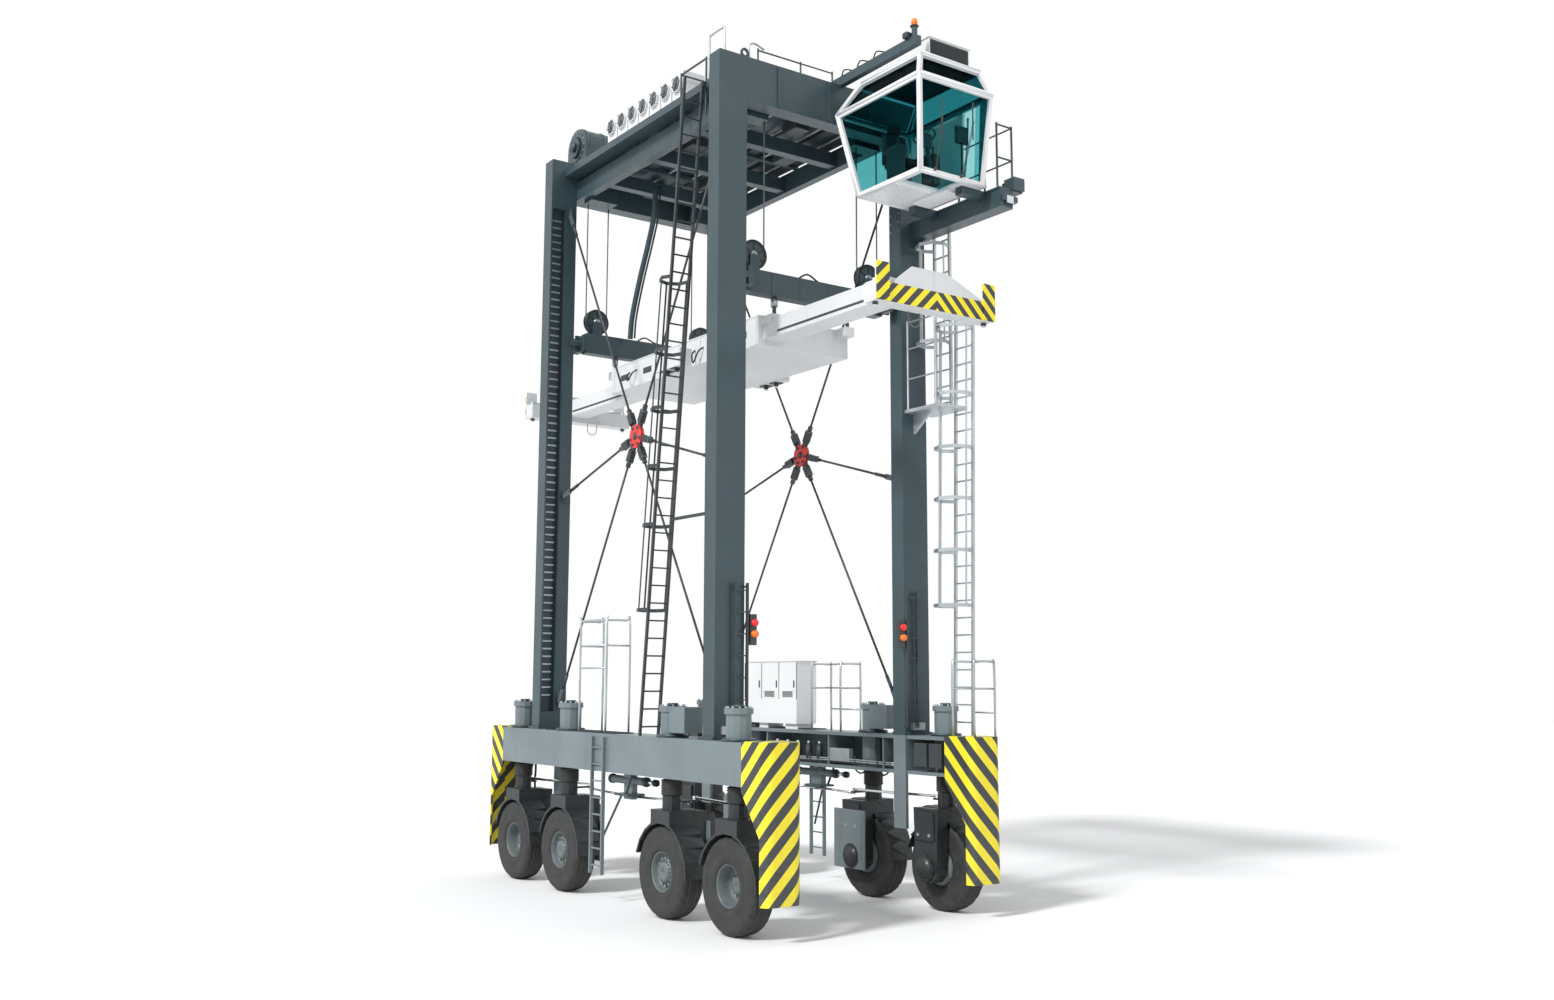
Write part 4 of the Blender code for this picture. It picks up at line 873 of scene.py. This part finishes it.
# beacon arm, floodlights, walkway details
shape = Shape()
tube(shape, (5.26, 0.36, 14.745), (5.26, 0.36, 14.755), 0.075, "darkSteel", 24)
lathe(shape, [(0.0005, 14.752), (0.055, 14.752), (0.055, 14.84), (0.045, 14.875), (0.020, 14.89), (0.0005, 14.892)],
      Matrix.Translation((5.26, 0.36, 0)), "orangeLens", 32)
block(shape, (5.08, 0.24, 14.56), (5.20, 0.48, 14.66), "darkSteel", 0.01)
for x in (3.35, 3.8, 4.25):
    pipe(shape, [(x, 0.30, 14.56), (x + 0.12, 0.27, 14.62), (x + 0.28, 0.31, 14.56)], 0.012, "hose", 8, 4)
piece("beacon", shape, "chassis")
shape = Shape()
for i, (x, y, z) in enumerate(((5.56, 2.34, 12.30), (5.56, 2.12, 11.98), (5.40, 2.34, 12.30))):
    block(shape, (x - 0.07, y - 0.09, z - 0.08), (x + 0.10, y + 0.09, z + 0.08), "darkSteel", 0.012)
    block(shape, (x + 0.10, y - 0.075, z - 0.065), (x + 0.108, y + 0.075, z + 0.065), "lampLens")
for x in (4.1, 4.6, 5.1):
    block(shape, (x, 2.215, 11.88), (x + 0.10, 2.26, 12.10), "structure", 0.006)
unit = Shape()
block(unit, (0, 0, 0), (0.008, 0.52, 0.012), "zinc")
addBaked(shape, repeated("rowRepeat", unit, 40, (0.040, 0, 0), "zinc"), [Matrix.Translation((3.99, 1.925, 12.190))],
         "zinc")
piece("walkway_details", shape, "chassis")
print("cab dressed")


# ---- coolers: fan wells, blades and guard rings
unit = Shape()
bar(unit, (0.03, 0, 0.002), (0.145, 0, 0.010), 0.055, 0.006, "darkSteel", (0, 1, 0.5))
blades = repeated("ringRepeat", unit, 6, (0, 0, 0), "darkSteel")
shape = Shape()
for i in range(7):
    x = -1.21 + 0.41 * i
    out = Matrix.Translation((x, -1.872, 14.60)) @ Matrix.Rotation(math.radians(90), 4, "X")
    lathe(shape, [(0.132, -0.004), (0.160, -0.004), (0.160, 0.016), (0.132, 0.016)], out, "light", 32)
    lathe(shape, [(0.0005, 0.0), (0.131, 0.0), (0.131, 0.003), (0.0005, 0.003)], out, "plastic", 32)
    addBaked(shape, blades, [out], "darkSteel")
    for radius in (0.045, 0.075, 0.105):
        lathe(shape, [(radius, 0.012), (radius + 0.005, 0.012), (radius + 0.005, 0.017), (radius, 0.017)], out,
              "zinc", 24)
    tube(shape, (x, -1.875, 14.60), (x, -1.896, 14.60), 0.03, "darkSteel", 16)
    block(shape, (x - 0.165, -1.82, 14.822), (x + 0.165, -1.42, 14.83), "light", 0.003)
piece("cooler_fans", shape, "chassis")

# winch hood ends, deck boxes, cable trays and underside pipes
shape = Shape()
out = Matrix.Translation((-3.16, -1.62, 14.84)) @ Matrix.Rotation(math.radians(90), 4, "X")
unit = Shape()
tube(unit, (0.34, 0, 0), (0.34, 0, 0.016), 0.014, "zinc", 6)
addBaked(shape, repeated("ringRepeat", unit, 16, (0, 0, 0), "zinc"), [out], "zinc")
lathe(shape, [(0.21, 0.0), (0.30, 0.0), (0.30, 0.012), (0.21, 0.012)], out, "structure", 40)
tube(shape, (-3.16, -1.69, 14.84), (-3.16, -1.74, 14.84), 0.10, "darkSteel", 24)
for y in (-1.55, -1.15, -0.80, -0.42):
    lathe(shape, [(0.398, -0.02), (0.412, -0.02), (0.412, 0.02), (0.398, 0.02)],
          Matrix.Translation((-3.16, y, 14.84)) @ Matrix.Rotation(math.radians(90), 4, "X"), "structure", 40)
piece("winch_details", shape, "chassis")
shape = Shape()
unit = Shape()
block(unit, (0, -0.010, 0), (0.30, 0.010, 0.012), "darkSteel")
louvre = repeated("rowRepeat", unit, 9, (0, 0, 0.028), "darkSteel")
addBaked(shape, louvre, [Matrix.Translation((x, -0.752, 14.29)) for x in (-0.7, -0.2, 0.3, 0.8, 1.3)], "darkSteel")
addBaked(shape, louvre, [Matrix.Translation((x, -0.602, 14.27)) for x in (-2.4, -1.9)], "darkSteel")
for y in (-1.30, -0.85, 0.35, 0.95, 1.40):
    block(shape, (-2.90, y - 0.10, 14.045), (2.90, y + 0.10, 14.098), "darkSteel", 0.006)
for y in (-1.05, -0.45, 0.10, 0.65, 1.18):
    pipe(shape, [(-2.9, y, 14.05), (-1.5, y + 0.03, 14.03), (0.3, y, 14.05), (1.6, y + 0.03, 14.03), (2.9, y, 14.05)],
         0.022, "zinc", 8, 4)
for x in (-2.55, -1.45, -0.55, 0.35, 1.05, 2.45):
    block(shape, (x - 0.05, -1.50, 13.98), (x + 0.05, 1.50, 14.06), "structure", 0.004)
for x, y in ((-1.3, 0.5), (0.3, -0.9), (0.8, 0.9), (2.1, 0.2), (-2.4, -0.2)):
    block(shape, (x - 0.22, y - 0.16, 13.88), (x + 0.22, y + 0.16, 14.06), "darkSteel", 0.015)
piece("deck_underside", shape, "chassis")
shape = Shape()
for line in (
    [(3.22, -1.60, 14.41), (3.22, -1.60, 14.66), (3.22, -1.48, 14.72), (3.22, -1.30, 14.66)],
    [(2.90, -1.90, 14.24), (2.90, -1.90, 14.98), (2.80, -1.90, 15.05), (2.50, -1.90, 15.05), (2.42, -1.90, 14.98),
     (2.42, -1.90, 14.24)],
    [(2.90, -1.90, 14.64), (2.42, -1.90, 14.64)],
    [(-2.6, 1.55, 14.24), (-2.6, 1.55, 15.0), (-2.5, 1.55, 15.05), (2.5, 1.55, 15.05), (2.6, 1.55, 15.0),
     (2.6, 1.55, 14.24)],
    [(-2.6, 1.55, 14.64), (2.6, 1.55, 14.64)],
):
    pipe(shape, line, 0.018, "zinc", 8, 4)
for x in (-1.3, 0.0, 1.3):
    pipe(shape, [(x, 1.55, 14.24), (x, 1.55, 15.05)], 0.018, "zinc", 8, 1)
lugPlace = Matrix.Translation((3.22, -1.70, 14.50)) @ Matrix.Rotation(math.radians(90), 4, "Y")
lathe(shape, [(0.045, -0.015), (0.085, -0.015), (0.085, 0.015), (0.045, 0.015)], lugPlace, "structure", 24)
piece("deck_rails", shape, "chassis")

# white cabinet: door seams, hinges, vents
shape = Shape()
for x in (-1.94, -1.34, -0.74, -0.15):
    block(shape, (x - 0.004, 1.852, 3.50), (x + 0.004, 1.862, 4.21), "plastic")
for x in (-1.42, -0.82, -0.23):
    block(shape, (x - 0.012, 1.842, 3.72), (x + 0.012, 1.861, 3.86), "darkSteel", 0.004)
unit = Shape()
block(unit, (0, -0.006, 0), (0.34, 0.006, 0.008), "plastic")
addBaked(shape, repeated("rowRepeat", unit, 6, (0, 0, 0.02), "plastic"),
         [Matrix.Translation((x, 1.857, 3.54)) for x in (-1.24, -0.62)], "plastic")
block(shape, (-1.96, 1.84, 4.228), (-0.13, 2.36, 4.245), "white", 0.006)
piece("cabinet_details", shape, "chassis")
print("deck dressed")


# ---- hoist: ropes, sheave spokes, rollers; the spreader's hoses, caps and locks
rope = {"radius": 0.013, "top": 13.56, "low": 11.12}
for end, endName in ((1, "front"), (-1, "rear")):
    for sideName, side in sides.items():
        for i, spread in enumerate((-0.235, 0.235)):
            shape = Shape()
            x, y = end * 2.84, side * 1.26 + spread
            points = [(x, y, rope["low"] + k * (rope["top"] - rope["low"]) / 12) for k in range(13)]
            pipe(shape, points, rope["radius"], "rope", 8, 1)
            made = piece("rope_" + endName + "_" + sideName + "_" + str(i + 1), shape, None)
            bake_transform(made)
shape = Shape()
unit = Shape()
block(unit, (0.06, -0.014, -0.052), (0.215, 0.014, 0.052), "fork")
spokes = repeated("ringRepeat", unit, 6, (0, 0, 0), "fork")
for end in (1, -1):
    for side in (-1, 1):
        flat = Matrix.Translation((end * 2.84, side * 1.26, 11.10)) @ Matrix.Rotation(math.radians(90), 4, "Y")
        addBaked(shape, spokes, [flat], "fork")
        lathe(shape, [(0.215, -0.058), (0.262, -0.058), (0.248, -0.02), (0.248, 0.02), (0.262, 0.058), (0.215, 0.058)],
              flat, "fork", 48)
        lathe(shape, [(0.02, -0.07), (0.07, -0.07), (0.07, 0.07), (0.02, 0.07)], flat, "zinc", 24)
        block(shape, (end * 2.95, side * 1.36, 10.46), (end * 2.99, side * 1.66, 10.80), "structure", 0.006)
        for z in (10.50, 10.62, 10.74):
            tube(shape, (end * 2.99, side * 1.42, z), (end * 3.005, side * 1.42, z), 0.014, "zinc", 6)
    for y in (-0.9, -0.3, 0.3, 0.9):
        block(shape, (end * 2.84 - 0.118, y - 0.03, 10.44), (end * 2.84 + 0.118, y + 0.03, 10.81), "structure", 0.004)
    for y in (-0.80, 0.80):
        lathe(shape, [(0.036, 10.26), (0.062, 10.26), (0.062, 10.40), (0.036, 10.40)],
              Matrix.Translation((end * 2.84, y, 0)), "zinc", 20)
    pipe(shape, [(end * 2.84, -0.30, 10.84), (end * 2.86, -0.10, 10.95), (end * 2.84, 0.15, 10.86),
                 (end * 2.80, 0.40, 10.84)], 0.016, "hose", 8, 5)
piece("hoist_details", shape, "hoist")

shape = Shape()
for x in (-2.55, -0.72, 0.72, 2.55):
    block(shape, (x - 0.03, -0.995, 9.63), (x + 0.03, -0.975, 10.11), "light", 0.004)
for x in (-2.1, -1.2, 1.2, 2.1):
    block(shape, (x - 0.16, -0.984, 9.80), (x + 0.16, -0.979, 9.92), "plastic", 0.002)
block(shape, (-2.63, -0.99, 10.115), (2.63, -0.20, 10.14), "light", 0.004)
for i, (x, y) in enumerate(((-1.5, 0.1), (-0.2, 0.05), (1.3, 0.1), (0.5, -0.5), (-1.0, -0.55))):
    block(shape, (x - 0.22, y - 0.09, 10.13), (x + 0.22, y + 0.09, 10.30), "darkSteel" if i % 2 else "light", 0.012)
for y in (-0.75, -0.30, 0.16):
    pipe(shape, [(-2.4, y, 10.15), (-1.2, y + 0.05, 10.18), (0.0, y, 10.16), (1.2, y + 0.05, 10.19), (2.4, y, 10.15)],
         0.018, "hose", 8, 5)
for start, reach in (((-0.35, -1.0, 9.9), -0.35), ((0.55, -1.0, 9.92), -0.28), ((-1.9, -1.0, 9.95), -0.22)):
    x, y, z = start
    pipe(shape, [(x, y + 0.05, z), (x + 0.03, y - 0.06, z - 0.10), (x + 0.12, y - 0.09, z + reach),
                 (x + 0.26, y - 0.06, z - 0.08), (x + 0.30, y + 0.05, z)], 0.015, "hose", 8, 6)
for side in (-1, 1):
    for x in (-0.17, 0.17):
        lathe(shape, [(0.0005, 9.53), (0.025, 9.535), (0.048, 9.57), (0.048, 9.60), (0.034, 9.61), (0.0005, 9.61)],
              Matrix.Translation((x, side * 1.13, 0)), "darkSteel", 20)
        block(shape, (x - 0.10, side * 1.13 - 0.10, 9.60), (x + 0.10, side * 1.13 + 0.10, 9.63), "darkSteel", 0.006)
piece("spreader_details", shape, "hoist")

for end, endName, y in ((1, "front", -0.66), (-1, "rear", -0.14)):
    shape = Shape()
    start, finish = end * 2.78, end * 5.80
    block(shape, (end * 3.06, y - 0.2345, 9.76), (end * 5.55, y - 0.2305, 9.80), "plastic")
    block(shape, (end * 5.60, y - 0.2345, 9.82), (end * 5.70, y - 0.2305, 9.92), "plastic")
    for side in (-1, 1):
        place = Matrix.Translation((end * 5.9925, side * 1.13, 0))
        lathe(shape, [(0.0005, 9.53), (0.025, 9.535), (0.048, 9.57), (0.048, 9.585), (0.034, 9.60), (0.0005, 9.60)],
              place, "darkSteel", 20)
        tube(shape, (end * 5.9925, side * 1.13, 9.90), (end * 5.9925, side * 1.13, 9.97), 0.05, "zinc", 20)
        bar(shape, (end * 5.9925, side * 1.13, 9.95), (end * 5.9925, side * 0.80, 9.95), 0.03, 0.03, "zinc")
        for z in (9.64, 9.88):
            block(shape, (end * 5.86, side * 1.20, z), (end * 6.12, side * 1.226, z + 0.03), "light", 0.004)
    pipe(shape, [(end * 5.86, y + 0.30, 9.61), (end * 5.87, y + 0.32, 9.42), (end * 5.87, y + 0.42, 9.36),
                 (end * 5.87, y + 0.52, 9.42), (end * 5.86, y + 0.54, 9.61)], 0.008, "rope", 8, 6)
    piece("telescope_details_" + endName, shape, "telescope_" + endName)

# bent cable arm from the rear lifting beam up to the deck
shape = Shape()
armPoints = [(-2.55, -0.62, 10.80), (-2.48, -0.62, 11.25), (-2.20, -0.62, 11.95), (-1.86, -0.62, 12.65),
             (-1.66, -0.62, 13.15), (-1.60, -0.62, 13.75)]
pipe(shape, armPoints, 0.055, "structure", 12, 6)
pipe(shape, [Vector(p) + Vector((0.09, 0.05, 0)) for p in armPoints], 0.02, "hose", 8, 6)
made = piece("cable_arm", shape, None)
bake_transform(made)

# star hubs: dark clevis bolts and turnbuckle nuts
for sideName, side in sides.items():
    shape = Shape()
    y = side * 1.87
    tube(shape, (0, y - 0.045, 8.28), (0, y + 0.045, 8.28), 0.07, "darkSteel", 24)
    for end in (-1, 1):
        for z in (13.30, 7.47, 3.42):
            aim = Vector((end * 2.90, 0, z - 8.28)).normalized()
            hub = Vector((0, y, 8.28))
            tube(shape, hub + aim * 0.17 - Vector((0, 0.06, 0)), hub + aim * 0.17 + Vector((0, 0.06, 0)), 0.028,
                 "darkSteel", 12)
            bar(shape, hub + aim * 0.50, hub + aim * 0.62, 0.07, 0.06, "darkSteel", (0, 1, 0))
            tip = Vector((end * 2.90, y, z))
            tube(shape, tip - aim * 0.62, tip - aim * 0.30, 0.032, "darkSteel", 12)
            tube(shape, tip - Vector((0, 0.05 * 0 + 0.024, 0)), tip + Vector((0, 0.03, 0)), 0.035, "darkSteel", 12)
            tube(shape, hub + aim * 0.62, tip - aim * 0.62, 0.0215, "darkSteel", 10)
    piece("star_details_" + sideName, shape, "chassis")
print("hoist and spreader dressed")


# ---- floor, light and camera
floorMesh = bpy.data.meshes.new("floor")
floorMesh.from_pydata([(-120, -120, 0), (120, -120, 0), (120, 120, 0), (-120, 120, 0)], [], [(0, 1, 2, 3)])
floor = bpy.data.objects.new("floor", floorMesh)
bpy.context.scene.collection.objects.link(floor)
floorLook, tree, shader = startMaterial("paleFloor")
shader.inputs["Base Color"].default_value = (0.86, 0.87, 0.88, 1.0)
shader.inputs["Roughness"].default_value = 0.9
floorMesh.materials.append(floorLook)

world = bpy.data.worlds.new("studio")
world.use_nodes = True
bpy.context.scene.world = world
sky = world.node_tree.nodes["Background"]
sky.inputs["Color"].default_value = (1, 1, 1, 1)
path = world.node_tree.nodes.new("ShaderNodeLightPath")
seen = mathNode(world.node_tree, "MAXIMUM", path.outputs["Is Camera Ray"], path.outputs["Is Glossy Ray"])
seen = mathNode(world.node_tree, "MAXIMUM", seen, path.outputs["Is Transmission Ray"])
link(world.node_tree, rangeNode(world.node_tree, seen, 0.0, 1.0, 0.66, 1.0), sky.inputs["Strength"])

lamps = {"key": ((0.16, -0.80, 0.72), 2.7, 9), "fill": ((0.9, 0.3, 0.5), 0.25, 40)}
for name, (aim, strength, spread) in lamps.items():
    data = bpy.data.lights.new(name, "SUN")
    data.energy = strength
    data.angle = math.radians(spread)
    lamp = bpy.data.objects.new(name, data)
    lamp.rotation_mode = "QUATERNION"
    lamp.rotation_quaternion = Vector(aim).to_track_quat("Z", "Y")
    bpy.context.scene.collection.objects.link(lamp)

view = {"place": (22.2165, -14.4274, 3.852), "yaw": 144.857, "pitch": 7.638, "roll": -0.163, "lens": 32.592}
camData = bpy.data.cameras.new("camera")
camData.sensor_width = 36.0
camData.lens = view["lens"]
camData.shift_x = 0.0021
camData.shift_y = -0.0051
camData.clip_end = 400
camera = bpy.data.objects.new("camera", camData)
camera.location = view["place"]
camera.rotation_euler = (math.radians(90 + view["pitch"]), math.radians(view["roll"]),
                         math.radians(view["yaw"] - 90))
bpy.context.scene.collection.objects.link(camera)
bpy.context.scene.camera = camera
bpy.context.scene.view_settings.view_transform = "Standard"

print("scene ready")
